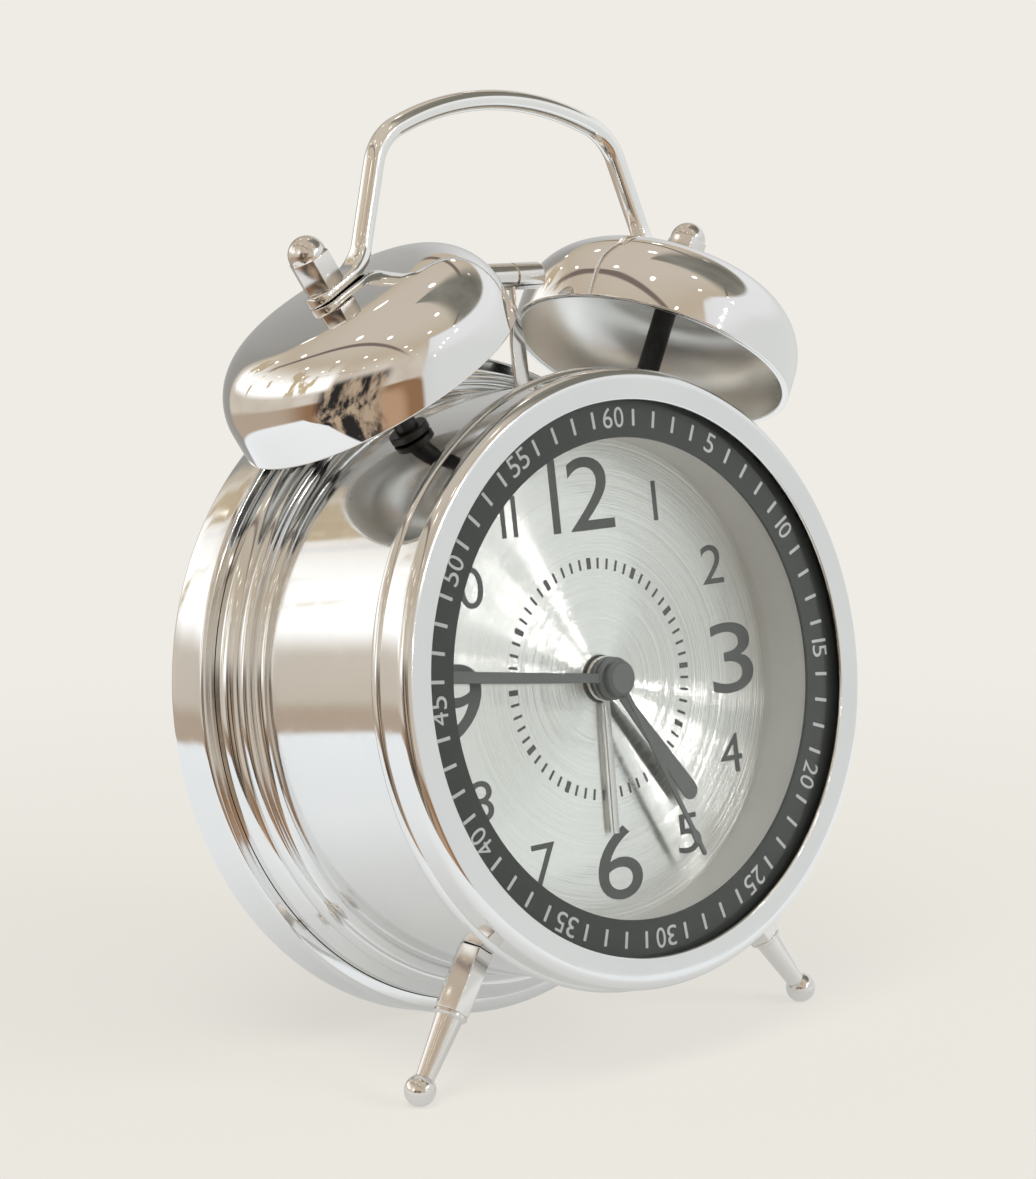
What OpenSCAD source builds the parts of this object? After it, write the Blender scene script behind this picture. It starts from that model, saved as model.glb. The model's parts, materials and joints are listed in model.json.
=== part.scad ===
// Twin-bell alarm clock with a quartz movement, an electric striker and two cells.
// Everything is drawn in the clock's own frame: X to the right as seen from the front,
// Y from the dial to the back, Z up along the dial, with the origin in the middle of the
// minute ring's front face.  seated() then leans the clock back on its two feet and the
// bottom of its rear rim, and puts the middle of the footprint at the origin.

/* [Case] */
// Outside diameter of the drum
case_d = 98; // [94:0.5:104]
// Depth of the case, from the bezel's face to the rim's rear edge
case_depth = 52.9; // [50:0.1:60]
// Thickness of the drum's sheet
case_wall = 1; // [0.8:0.1:1.3]
// Width of the rear rim's band
rim_w = 9; // [7:0.5:11]
// Height of the rear rim above the drum's shoulder
rim_step = 2.5; // [2.3:0.1:4]
// Thickness of the rear rim's sheet
rim_wall = 1; // [0.8:0.1:1.2]
// Radius of the rear rim's rounded rear edge
rim_edge_r = 0.9; // [0.5:0.1:1.2]
// Radius of the cove at the front of the shoulder
cove_r = 1.6; // [1:0.1:2]
// Radius of the bead in the middle of the shoulder
bead_r = 1.3; // [1:0.1:1.6]
// Radius of the round at the back of the shoulder
shoulder_r = 2.8; // [2.2:0.1:3.2]

/* [Front] */
// Diameter of the opening in the bezel
bezel_open_d = 89.4; // [86:0.2:92]
// Thickness of the bezel's lip over the lens
bezel_lip = 0.7; // [0.6:0.1:1]
// Radius of the round between the bezel's face and its side
bezel_round = 2; // [1.5:0.1:2.4]
// Thickness of the bezel's side
bezel_wall = 0.9; // [0.7:0.1:1.3]
// Length of the bezel's side behind the minute ring
bezel_skirt = 6.3; // [5:0.1:8]
// Thickness of the lens
lens_t = 1.2; // [1:0.1:1.6]
// Inside diameter of the minute ring
ring_open_d = 77.6; // [76:0.2:84]
// Thickness of the minute ring
ring_t = 0.6; // [0.4:0.1:1]
// Depth from the minute ring's face to the dial
dial_depth = 9.4; // [8.6:0.1:11]
// Inside diameter of the spacer between the ring and the dial
spacer_open_d = 79; // [78.4:0.2:86]
// Thickness of the dial plate
dial_t = 0.6; // [0.4:0.1:1]

/* [Hands] */
// Length of the hour hand
hour_l = 27.2; // [20:0.1:30]
// Widest part of the hour hand
hour_w = 3.3; // [2.4:0.1:4]
// Gap between the tip of the minute hand and the spacer
tip_gap = 2.1; // [1:0.1:9]
// Widest part of the minute hand
minute_w = 1.9; // [1.4:0.1:3]
// Length of the second hand
second_l = 34.7; // [28:0.1:38]
// Width of the second hand
second_w = 0.8; // [0.6:0.1:1.2]
// Length of the alarm hand
alarm_l = 25.3; // [18:0.1:30]
// Width of the alarm hand
alarm_w = 1.2; // [0.8:0.1:2]
// Thickness of each hand
hand_t = 0.35; // [0.2:0.05:0.5]
// Diameter of the cap on the second hand
cap_d = 5.8; // [4.5:0.1:6.4]
// Time shown at rest, in minutes past twelve
rest_minutes = 286.2; // [0:0.2:719.8]
// Seconds shown at rest
rest_seconds = 25.7; // [0:0.1:59.9]
// Alarm time at rest, in hours
rest_alarm = 6.07; // [0:0.01:11.99]

/* [Bells] */
// Angle of each bell's axis from the vertical
bell_angle = 30; // [29:0.5:34]
// Depth of the bells' axes behind the minute ring
bell_y = 21.2; // [19:0.1:24]
// Outside diameter of a bell's rim
bell_d = 49; // [44:0.5:50]
// Height of a bell
bell_h = 16.5; // [14:0.5:18]
// Thickness of a bell
bell_t = 1.2; // [0.8:0.1:1.6]
// Radius of a bell's shoulder
bell_round = 11; // [6:0.5:12]
// How far the middle of a bell's crown stands above its shoulder
bell_crown_rise = 0.7; // [0.4:0.1:1.6]
// Gap between the drum and the plane of a bell's rim
bell_gap = 10.2; // [9.5:0.1:12]
// Diameter of a bell's post
post_d = 3.8; // [3.2:0.1:4.6]
// Size of the cap nuts across their flats
cap_nut_af = 6.2; // [5:0.1:7]
// Height of the cap nuts
cap_nut_h = 8.8; // [7:0.1:10]
// Diameter of the threads on the posts and the feet
thread_d = 3; // [2.5:0.1:3.2]

/* [Handle] */
// Diameter of the handle's wire
wire_d = 3.4; // [3:0.1:4]
// Height of the handle's middle above the drum's axis, at the wire's centre
handle_z = 96.4; // [94:0.2:104]
// Radius of the handle's crown
crown_r = 53; // [45:1:60]
// Radius of the handle's upper corners
corner_r = 9.5; // [8:0.5:11]
// Splay of the handle's legs from the vertical
leg_splay = 18; // [15:0.5:20]
// Distance from a bell's axis to the bend at the foot of a leg
leg_reach = 7.8; // [7.4:0.1:9]
// Radius of the bend at the foot of a leg
leg_bend_r = 7; // [5:0.5:8]
// Width of the flattened lug
lug_w = 5.6; // [5:0.1:7]
// Thickness of the flattened lug
lug_t = 1.8; // [1.2:0.1:2.2]

/* [Feet] */
// Angle of each foot from the vertical
foot_angle = 35.9; // [30:0.1:40]
// Depth of the feet behind the minute ring
foot_y = 13.5; // [12.5:0.1:18]
// Size of a foot's hexagon across its flats
foot_af = 5.3; // [4.6:0.1:6]
// Length of a foot's hexagon
foot_hex_l = 10.9; // [8:0.1:14]
// Length of a foot from the drum to the middle of its ball
foot_l = 24.1; // [22:0.1:28]
// Diameter of a foot's ball
foot_ball_d = 5.1; // [4.5:0.1:6]

/* [Striker] */
// Height of the hammer's pivot above the drum's axis
pivot_z = 38; // [36.5:0.1:39]
// Height of the hammer's head above the drum's axis
head_z = 67.2; // [65:0.1:69]
// Diameter of the hammer's head
head_d = 4.5; // [3.6:0.1:5.2]
// Length of the hammer's head
head_l = 12; // [10:0.1:12.6]
// Width of the hammer's arm
arm_w = 3; // [2.4:0.1:3.4]
// Thickness of the hammer's arm
arm_t = 0.8; // [0.6:0.1:1]
// Twist of the hammer's arm
arm_twist = 55; // [0:5:80]
// Swing of the hammer to each side
hammer_swing = 5.5; // [4:0.1:5.6]
// Diameter of the hammer's pin
pin_d = 2; // [1.6:0.1:2.4]

/* [Movement] */
// Module of the minute and intermediate teeth
mod_minute = 0.5; // [0.48:0.01:0.54]
// Module of the alarm teeth
mod_alarm = 0.5; // [0.46:0.02:0.52]
// Module of the second and third teeth
mod_second = 0.42; // [0.41:0.01:0.43]
// Module of the third and rotor teeth
mod_rotor = 0.3; // [0.28:0.01:0.33]
// Thickness of the wheels
wheel_t = 0.6; // [0.4:0.1:0.7]
// Radial clearance of each running fit
run_fit = 0.06; // [0.03:0.01:0.08]
// Width of the movement's housing
move_w = 44; // [42:1:50]
// Height of the movement's housing
move_h = 44; // [43:0.5:46]
// Depth of the movement's housing
move_d = 14; // [14:0.5:16]
// Wall of the movement's housing
move_wall = 1.2; // [1:0.1:1.4]

/* [Back] */
// Thickness of the rear cover
cover_t = 2; // [1.6:0.1:3]
// Diameter of the setting knobs
knob_d = 13; // [10:0.5:14]
// Height of the setting knobs above the rear cover
knob_h = 9; // [6:0.5:11]
// Number of grooves round a knob
knob_grooves = 20; // [12:1:24]
// Diameter of the setting shafts
shaft_d = 2; // [1.6:0.1:2.4]
// Diameter of a cell
cell_d = 14.2; // [13.5:0.1:14.5]
// Length of a cell without its contact
cell_l = 49.2; // [48:0.1:50]
// Wall of the battery bay
bay_wall = 1.2; // [1:0.1:1.6]
// Thickness of the battery door
door_t = 1.5; // [1.2:0.1:1.6]
// Travel of the alarm switch
switch_travel = 4; // [3:0.5:5]

/* [Hidden] */

$fn = 96;
eps = 0.01;
fit = 0.1;          // clearance between pieces that are pushed together
seat = 0.03;        // clearance of a piece held in its slot or on its shaft
chrome = [0.86, 0.86, 0.85];
nickel = [0.74, 0.71, 0.67];
steel = [0.6, 0.61, 0.62];
black = [0.13, 0.13, 0.13];
brass = [0.78, 0.64, 0.34];

// ---- places along the depth -------------------------------------------------------------
lens_y0 = -fit - lens_t;
bezel_y0 = lens_y0 - fit - bezel_lip;
drum_y0 = ring_t + fit;
dial_y1 = dial_depth + dial_t;
chassis_t = 2;
chassis_y1 = dial_y1 + chassis_t;
rear_y = bezel_y0 + case_depth;
cover_y1 = rear_y - 0.05;
cover_y0 = cover_y1 - cover_t;
rim_y0 = rear_y - rim_w;

// ---- radii of the case ------------------------------------------------------------------
case_r = case_d / 2;
drum_in_r = case_r - case_wall;
bezel_in_r = case_r + fit;
bezel_r = bezel_in_r + bezel_wall;
glass_r = bezel_in_r - 0.3;
inner_r = drum_in_r - 0.2;
cove_out_r = case_r + cove_r;
bead_c_r = cove_out_r + 0.3;
round_c_r = case_r + 2;
shoulder_out_r = round_c_r + shoulder_r;
rim_r = shoulder_out_r + rim_step;
rim_in_r = rim_r - rim_wall;
flange_r = rim_in_r - fit;
round_c_y = rim_y0 - 0.9;
bead_c_y = round_c_y - shoulder_r - bead_r + 0.5;
cove_y1 = bead_c_y - bead_r + 0.1;

// ---- how the clock stands ----------------------------------------------------------------
foot_ball_r = case_r + foot_l;
foot_ball_z = foot_ball_r * cos(foot_angle);
stand_y = rear_y - rim_edge_r;
stand_r = rim_r - rim_edge_r;
lean_run = stand_y - foot_y;
lean_rise = foot_ball_z - stand_r;
lean = atan2(lean_rise, lean_run)
    + asin((foot_ball_d / 2 - rim_edge_r) / norm([lean_run, lean_rise]));
lift = foot_y * sin(lean) + foot_ball_z * cos(lean) + foot_ball_d / 2;

// ---- teeth, which set the ratios between the hands and the knobs ------------------------
minute_z = 12;
inter_z = 36;
inter_pinion_z = 10;
hour_z = 40;
alarm_z = 40;
alarm_set_z = 20;
second_z = 48;
third_pinion_z = 8;
third_z = 45;
rotor_z = 9;

// ---- gear centres -------------------------------------------------------------------------
time_gap = mod_minute * (minute_z + inter_z) / 2;
mod_hour = 2 * time_gap / (inter_pinion_z + hour_z);
alarm_gap = mod_alarm * (alarm_z + alarm_set_z) / 2;
third_gap = mod_second * (second_z + third_pinion_z) / 2;
rotor_gap = mod_rotor * (third_z + rotor_z) / 2;
time_dir = 20;
alarm_dir = 160;
third_dir = -90;
rotor_dir = -10;
function polar(r, a) = [r * cos(a), r * sin(a)];
time_xz = polar(time_gap, time_dir);
alarm_xz = polar(alarm_gap, alarm_dir);
third_xz = polar(third_gap, third_dir);
rotor_xz = third_xz + polar(rotor_gap, rotor_dir);

// ---- levels of the movement, from the chassis plate backwards ----------------------------
base_y1 = chassis_y1 + move_wall;
alarm_y = base_y1 + 0.4;
hour_y = alarm_y + 1;
minute_y = hour_y + 1.2;
second_y = minute_y + 1.6;
third_y = second_y + 1.2;
rotor_y = third_y + 1.4;
move_y1 = chassis_y1 + move_d;
move_in_y1 = move_y1 - move_wall;
move_z = -4;

// ---- nested arbors, from the centre outwards ---------------------------------------------
second_r = 0.5;
minute_in_r = second_r + run_fit;
minute_r = minute_in_r + 0.7;
hour_in_r = minute_r + run_fit;
hour_r = hour_in_r + 0.65;
alarm_in_r = hour_r + run_fit;
alarm_r = alarm_in_r + 0.65;
bush_in_r = alarm_r + run_fit;
bush_r = bush_in_r + 1.1;
hub_t = 0.8;
hub_gap = 0.4;
hub_dial_gap = 0.6;
alarm_hand_y = dial_depth - hub_dial_gap - hub_t;
hour_hand_y = alarm_hand_y - hub_t - hub_gap;
minute_hand_y = hour_hand_y - hub_t - hub_gap;
second_hand_y = minute_hand_y - hub_t - hub_gap;
minute_l = spacer_open_d / 2 - tip_gap;

// ---- bells, handle ------------------------------------------------------------------------
bell_r = bell_d / 2;
bell_rise = bell_round + bell_crown_rise;
bell_lip = bell_h - bell_rise;
bell_reach = bell_r - bell_round;
bell_crown_r = (bell_reach * bell_reach + bell_rise * bell_rise - bell_round * bell_round)
    / (2 * bell_crown_rise);
rim_plane_r = case_r + bell_gap;
bell_top_r = rim_plane_r + bell_h;
lug_mid_r = bell_top_r + lug_t / 2;
nut_r0 = bell_top_r + lug_t;
thread_r = thread_d / 2;
thread_over = cap_nut_af / 2 + 1.6;
post_r0 = case_r - 5;
post_nut_af = 7;
foot_nut_af = 5.5;
nut_h = 2.4;
stud_over = 0.8;
function nut_seat_r(af) = sqrt(pow(drum_in_r, 2) - pow(af / 2 / cos(30), 2)) - seat;

// ---- striker ------------------------------------------------------------------------------
strike_y = bell_y;
move_top_z = move_z + move_h / 2;
bracket_z0 = move_top_z + 0.8;
bracket_t = 1.2;
ear_gap = 8;
ear_y0 = strike_y - ear_gap / 2 - bracket_t;
ear_y1 = strike_y + ear_gap / 2 + bracket_t;
armature_h = 5.2;
armature_w = 7;
armature_z0 = pivot_z - 8.7;
core_z1 = armature_z0 - 1;

// ---- pillars, cells -----------------------------------------------------------------------
pillar_r = 3.5;
pillar_ring_r = inner_r - pillar_r - 1.3;
pillar_dirs = [15, 165, -35, -145];
screw_r = 1.5;
cell_pitch = cell_d + 0.4;
bay_w = cell_l + 5.2;
bay_h = 2 * cell_d + 1.4;
bay_z0 = bay_wall - sqrt(pow(inner_r - fit, 2) - pow(bay_w / 2 + bay_wall, 2));
bay_mid_z = bay_z0 + bay_h / 2;
bay_y1 = cover_y1 - door_t - 0.3;
bay_y0 = bay_y1 - cell_d - 0.6;
door_w = bay_w + 2;
door_h = bay_h + 2;
door_z0 = bay_z0 - 1;

// ---- middle of the footprint --------------------------------------------------------------
knob_y1 = cover_y1 + 0.6 + knob_h;
knob_top_z = max(time_xz[1], alarm_xz[1]) + knob_d / 2;
front_most = bezel_y0 * cos(lean) - (bezel_r - bezel_round) * sin(lean);
rear_most = max(knob_y1 * cos(lean) + knob_top_z * sin(lean),
    rear_y * cos(lean) + stand_r * sin(lean));
mid_y = (front_most + rear_most) / 2;

// ---- helpers ------------------------------------------------------------------------------
// Stands the clock on its feet and its rear rim.
module seated() {
    translate([0, -mid_y, lift]) rotate([-lean, 0, 0]) children();
}
// Turns a shape drawn along +Z so that it runs along +Y, from the given depth.
module along_y(y, xz = [0, 0]) {
    translate([xz[0], y, xz[1]]) rotate([-90, 0, 0]) children();
}
// Turns a shape so that its +Z runs outwards from the drum's axis at a clock angle.
module radial(angle, y) {
    translate([0, y, 0]) rotate([0, angle, 0]) children();
}
// A flat outline seen from the front, X right and Y up, made t thick towards the back.
module plate(y, t) {
    translate([0, y + t, 0]) rotate([90, 0, 0]) linear_extrude(t) children();
}
// A ring about the clock's axis from a section with the radius as X and the depth as Y.
module turned() {
    rotate([-90, 0, 0]) rotate_extrude() children();
}
module tube(r, r_in, h) {
    difference() {
        cylinder(r = r, h = h);
        translate([0, 0, -1]) cylinder(r = r_in, h = h + 2);
    }
}
module hex(af, h) {
    cylinder(d = af / cos(30), h = h, $fn = 6);
}
module mirror_pair() {
    children();
    mirror([1, 0, 0]) children();
}
module box(x0, x1, y0, y1, z0, z1) {
    translate([x0, y0, z0]) cube([x1 - x0, y1 - y0, z1 - z0]);
}
// Spur gear outline.  A tooth is centred on the given angle.
module gear_2d(z, m, a = 0) {
    rp = m * z / 2;
    half = 90 / z;
    rotate(a) union() {
        circle(r = rp - 1.15 * m);
        for (i = [0:z - 1]) rotate(i * 360 / z) polygon([
            polar(rp - 1.35 * m, -1.15 * half), polar(rp, -0.78 * half),
            polar(rp + 0.8 * m, -0.36 * half), polar(rp + 0.8 * m, 0.36 * half),
            polar(rp, 0.78 * half), polar(rp - 1.35 * m, 1.15 * half)]);
    }
}
module gear(y, t, xz, z, m, a) {
    along_y(y, xz) mirror([0, 1, 0]) linear_extrude(t) gear_2d(z, m, a);
}
function gap_angle(z, a) = a + 180 / z;

// ---- case ---------------------------------------------------------------------------------
// Section of the drum's outside, moved in by w for its inside.
module drum_section(w) {
    square([case_r - w, rear_y]);
    difference() {
        translate([0, cove_y1 - cove_r + w]) square([cove_out_r - w, rear_y - cove_y1]);
        translate([cove_out_r, cove_y1 - cove_r]) circle(r = cove_r + w);
    }
    translate([bead_c_r, bead_c_y]) circle(r = bead_r - w / 2);
    translate([round_c_r, round_c_y]) circle(r = shoulder_r - w);
    translate([0, round_c_y]) square([shoulder_out_r - w, rear_y - round_c_y]);
    translate([0, rim_y0 + rim_wall + fit + w]) square([flange_r - w, rim_w]);
}
module case_drum() {
    color(chrome) seated() difference() {
        turned() difference() {
            intersection() {
                drum_section(0);
                translate([0, drum_y0]) square([rim_r, cover_y0 - drum_y0]);
            }
            drum_section(case_wall);
        }
        for (s = [-1, 1]) {
            radial(s * bell_angle, bell_y) cylinder(d = post_d + 2 * fit, h = rim_plane_r);
            radial(s * (180 - foot_angle), foot_y)
                cylinder(r = thread_r + fit, h = rim_plane_r);
        }
        hammer_slot();
    }
}
module hammer_slot() {
    half = arm_w / 2 + (case_r - pivot_z) * tan(hammer_swing) + 0.6;
    box(-half, half, strike_y - 1.7, strike_y + 1.7, drum_in_r - 3, case_r + 3);
}
module rear_rim() {
    corner = 0.8;
    color(chrome) seated() turned() difference() {
        union() {
            translate([shoulder_out_r + fit, rim_y0 + corner])
                square([rim_r - shoulder_out_r - fit, rim_w - corner - rim_edge_r]);
            translate([shoulder_out_r + fit, rim_y0])
                square([rim_r - corner - shoulder_out_r - fit, corner + eps]);
            translate([rim_r - corner, rim_y0 + corner]) circle(r = corner);
            translate([shoulder_out_r + fit, rear_y - rim_edge_r - eps])
                square([rim_r - rim_edge_r - shoulder_out_r - fit, rim_edge_r + eps]);
            translate([stand_r, stand_y]) circle(r = rim_edge_r);
        }
        translate([0, rim_y0 + rim_wall]) square([rim_in_r, rim_w]);
    }
}
module front_bezel() {
    lip_r = bezel_lip / 2;
    face_r = bezel_open_d / 2;
    color(chrome) seated() turned() difference() {
        union() {
            translate([face_r + lip_r, bezel_y0])
                square([bezel_r - bezel_round - face_r - lip_r, bezel_round]);
            translate([face_r + lip_r, bezel_y0 + lip_r]) circle(r = lip_r);
            translate([bezel_r - bezel_round, bezel_y0 + bezel_round]) circle(r = bezel_round);
            translate([face_r + bezel_lip, bezel_y0 + bezel_round])
                square([bezel_r - face_r - bezel_lip, bezel_skirt - bezel_y0 - bezel_round]);
            translate([bezel_r - 0.6, bezel_skirt - 1.4]) circle(r = 1.2);
        }
        translate([0, bezel_y0 + bezel_lip]) square([bezel_in_r, bezel_skirt + 20]);
        translate([0, bezel_skirt]) square([bezel_r + 5, 5]);
    }
}
module lens() {
    color([0.85, 0.92, 0.95, 0.3]) seated() along_y(lens_y0) cylinder(r = glass_r, h = lens_t);
}
module minute_ring() {
    color(black) seated() along_y(0) tube(glass_r, ring_open_d / 2, ring_t);
}
module spacer_ring() {
    color([0.8, 0.8, 0.8]) seated() along_y(ring_t)
        tube(inner_r, spacer_open_d / 2, dial_depth - ring_t);
}
module dial_plate() {
    color([0.84, 0.84, 0.81]) seated() along_y(dial_depth) tube(inner_r, bush_r + fit, dial_t);
}
// Carries the dial, the movement and the striker, and is clamped by the rear screws.
module chassis_plate() {
    pad_w = 20;
    color([0.9, 0.9, 0.88]) seated() difference() {
        union() {
            along_y(dial_y1) cylinder(r = inner_r, h = chassis_t);
            for (a = pillar_dirs) along_y(dial_y1, polar(pillar_ring_r, a))
                cylinder(r = pillar_r, h = cover_y0 - dial_y1);
            box(-pad_w / 2, pad_w / 2, chassis_y1 - eps, ear_y0, bracket_z0, pivot_z + 4);
        }
        along_y(dial_y1 - 1) cylinder(r = bush_r + fit, h = chassis_t + 2);
        for (a = pillar_dirs) along_y(cover_y0 - 12, polar(pillar_ring_r, a))
            cylinder(r = screw_r - 0.2, h = 13);
        for (p = movement_screw_xz()) along_y(dial_y1 + 0.4, p) cylinder(r = 0.8, h = chassis_t);
        for (p = bracket_screw_xz()) along_y(ear_y0 - 3, p) cylinder(r = 0.8, h = 4);
        for (s = [-1, 1]) radial(s * (180 - foot_angle), foot_y)
            translate([0, 0, inner_r - nut_h - stud_over - 1])
                cylinder(r = foot_nut_af / 2 / cos(30) + fit, h = 10);
    }
}
function movement_screw_xz() = [for (x = [-1, 1], z = [-1, 1])
    [x * (move_w / 2 + 2.6), move_z + z * (move_h / 2 - 4)]];
function bracket_screw_xz() = [[-8, pivot_z - 4], [8, pivot_z - 4]];

// ---- back ---------------------------------------------------------------------------------
module rear_cover() {
    color(black) seated() difference() {
        union() {
            along_y(cover_y0) cylinder(r = flange_r, h = cover_t);
            box(-bay_w / 2 - bay_wall, bay_w / 2 + bay_wall, bay_y0 - bay_wall, cover_y0 + eps,
                bay_z0 - bay_wall, bay_z0 + bay_h + bay_wall);
            for (p = [time_xz, alarm_xz]) along_y(cover_y0, p)
                cylinder(r = shaft_d / 2 + 2, h = cover_t + 0.3);
        }
        box(-bay_w / 2, bay_w / 2, bay_y0, cover_y1 + 1, bay_z0, bay_z0 + bay_h);
        box(-door_w / 2 - fit * 2, door_w / 2 + fit * 2, cover_y1 - door_t - 0.3,
            cover_y1 + 1, door_z0 - 0.25, door_z0 + door_h + 0.25);
        for (p = [time_xz, alarm_xz]) along_y(cover_y0 - 1, p)
            cylinder(r = shaft_d / 2 + run_fit, h = cover_t + 3);
        for (a = pillar_dirs) along_y(cover_y0 - 1, polar(pillar_ring_r, a))
            cylinder(r = screw_r + fit, h = cover_t + 2);
        switch_opening();
        for (i = [-4:4]) box(i * 3.4 - 0.7, i * 3.4 + 0.7, cover_y0 - 1, cover_y1 + 1, 28, 38);
    }
}
module case_screws() {
    color(steel) seated() for (a = pillar_dirs) {
        along_y(cover_y1 + seat, polar(pillar_ring_r, a)) difference() {
            cylinder(r1 = 2.9, r2 = 2.4, h = 1.2);
            for (t = [0, 90]) rotate(t) translate([-1.6, -0.3, 0.6]) cube([3.2, 0.6, 1]);
        }
        along_y(cover_y1 - cover_t - 9, polar(pillar_ring_r, a))
            cylinder(r = screw_r - 0.22, h = cover_t + 9 + 0.2);
    }
}
// The grip of a setting knob, with grooves round it and a dished end.
module knob(y, xz) {
    along_y(y, xz) difference() {
        union() {
            cylinder(d = knob_d, h = knob_h - 0.6);
            translate([0, 0, knob_h - 0.6])
                cylinder(r1 = knob_d / 2, r2 = knob_d / 2 - 0.6, h = 0.6);
        }
        for (i = [1:knob_grooves]) rotate(i * 360 / knob_grooves)
            translate([knob_d / 2 + 0.2, 0, 1]) cylinder(r = 0.6, h = knob_h, $fn = 16);
        translate([0, 0, knob_h - 0.5]) cylinder(d = knob_d - 4, h = 1);
        translate([0, 0, -1]) cylinder(r = shaft_d / 2 + seat, h = knob_h - 1.5);
    }
}
shaft_y1 = cover_y1 + 0.6 + knob_h - 2.8;
module time_knob() {
    color(black) seated() knob(cover_y1 + 0.6, time_xz);
}
module alarm_knob() {
    color(black) seated() knob(cover_y1 + 0.6, alarm_xz);
}
module battery_cells() {
    nub = 1.1;
    color([0.25, 0.45, 0.3]) seated() for (s = [-1, 1])
        translate([0, bay_y0 + cell_d / 2 + 0.2, bay_mid_z + s * cell_pitch / 2])
            rotate([0, s * 90, 0]) {
                translate([0, 0, -cell_l / 2]) cylinder(d = cell_d, h = cell_l);
                translate([0, 0, cell_l / 2 - eps]) cylinder(d = 5.2, h = nub);
            }
}
module battery_contacts() {
    color(nickel) seated() for (s = [-1, 1], t = [-1, 1])
        translate([t * (bay_w / 2 - seat), bay_y0 + cell_d / 2 + 0.2,
            bay_mid_z + s * cell_pitch / 2]) rotate([0, -t * 90, 0]) {
            translate([-4.5, -4.5, 0]) cube([9, 9, 0.5]);
            if (s == -t) cylinder(r1 = 3.5, r2 = 2, h = 2.5);
            else cylinder(r = 2, h = 1.4);
        }
}
module battery_door() {
    y0 = cover_y1 - door_t;
    hinge_r = door_t / 2;
    color(black) seated() difference() {
        union() {
            box(-door_w / 2, door_w / 2, y0, cover_y1, door_z0 + hinge_r, door_z0 + door_h);
            translate([-door_w / 2, y0 + hinge_r, door_z0 + hinge_r]) rotate([0, 90, 0])
                cylinder(r = hinge_r, h = door_w);
        }
        for (i = [0:5]) box(-9, 9, cover_y1 - 0.4, cover_y1 + 1,
            door_z0 + door_h - 4 - i * 1.8, door_z0 + door_h - 3.2 - i * 1.8);
    }
}
switch_xz = [-26, 26];
switch_w = 3.4;
switch_l = 4;
module switch_opening() {
    half = (switch_l + switch_travel) / 2 + 0.3;
    box(switch_xz[0] - half, switch_xz[0] + half, cover_y0 - 1, cover_y1 + 1,
        switch_xz[1] - switch_w / 2 - 0.2, switch_xz[1] + switch_w / 2 + 0.2);
}
module switch_body() {
    half = (switch_l + switch_travel) / 2 + 2.5;
    color(steel) seated() box(switch_xz[0] - half, switch_xz[0] + half,
        cover_y0 - 5, cover_y0 - fit, switch_xz[1] - 3, switch_xz[1] + 3);
}
module switch_slider() {
    x0 = switch_xz[0] - (switch_l + switch_travel) / 2;
    color([0.85, 0.85, 0.85]) seated() {
        box(x0, x0 + switch_l, cover_y0, cover_y1 + 1.8,
            switch_xz[1] - switch_w / 2, switch_xz[1] + switch_w / 2);
    }
}

// ---- feet and bells ------------------------------------------------------------------------
module foot() {
    stud_r0 = nut_seat_r(foot_nut_af) - nut_h - stud_over;
    hex_r1 = case_r + fit / 2 + foot_hex_l;
    radial(180 - foot_angle, foot_y) {
        translate([0, 0, stud_r0]) cylinder(r = thread_r, h = case_r + 1 - stud_r0);
        translate([0, 0, case_r + fit / 2]) hex(foot_af, foot_hex_l);
        translate([0, 0, hex_r1 - eps]) cylinder(d = foot_af + 0.3, h = 0.7);
        translate([0, 0, hex_r1 + 0.6]) cylinder(d1 = foot_af - 0.4, d2 = 3.1,
            h = foot_ball_r - hex_r1 - 2.4);
        translate([0, 0, foot_ball_r]) sphere(d = foot_ball_d);
    }
}
module right_foot() {
    color(nickel) seated() foot();
}
module left_foot() {
    color(nickel) seated() mirror([1, 0, 0]) foot();
}
module inner_nut(af, r) {
    translate([0, 0, nut_seat_r(af) - nut_h]) difference() {
        hex(af, nut_h);
        translate([0, 0, -1]) cylinder(r = r + seat, h = nut_h + 2);
    }
}
module foot_nuts() {
    color(steel) seated() mirror_pair() radial(180 - foot_angle, foot_y)
        inner_nut(foot_nut_af, thread_r);
}
module post_nuts() {
    color(steel) seated() mirror_pair() radial(bell_angle, bell_y)
        inner_nut(post_nut_af, post_d / 2);
}
// Section of a bell's outside, moved in by w for its inside.  The crown's arc runs into
// the shoulder's arc, and the shoulder into the straight lip.
module bell_section(w) {
    crown_y = bell_h - bell_crown_r;
    slope = [bell_reach, bell_lip - crown_y] / (bell_crown_r - bell_round);
    tip = [0, crown_y] + (bell_crown_r - w) * slope;
    translate([bell_reach, bell_lip]) circle(r = bell_round - w);
    polygon([[0, -1], [bell_r - w, -1], [bell_r - w, bell_lip], [bell_reach, bell_lip], tip,
        [0, tip[1]]]);
    intersection() {
        translate([0, crown_y]) circle(r = bell_crown_r - w, $fn = 200);
        polygon([[0, tip[1] - 1], [tip[0] - 1, tip[1] - 1], tip, tip + 8 * slope,
            [0, bell_h + 12]]);
    }
}
module bell() {
    radial(bell_angle, bell_y) translate([0, 0, rim_plane_r]) difference() {
        rotate_extrude() intersection() {
            difference() {
                bell_section(0);
                bell_section(bell_t);
            }
            square([bell_r + 1, bell_h + 1]);
        }
        cylinder(r = thread_r + fit, h = bell_h + 1);
    }
}
module right_bell() {
    color(chrome) seated() bell();
}
module left_bell() {
    color(chrome) seated() mirror([1, 0, 0]) bell();
}
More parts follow.
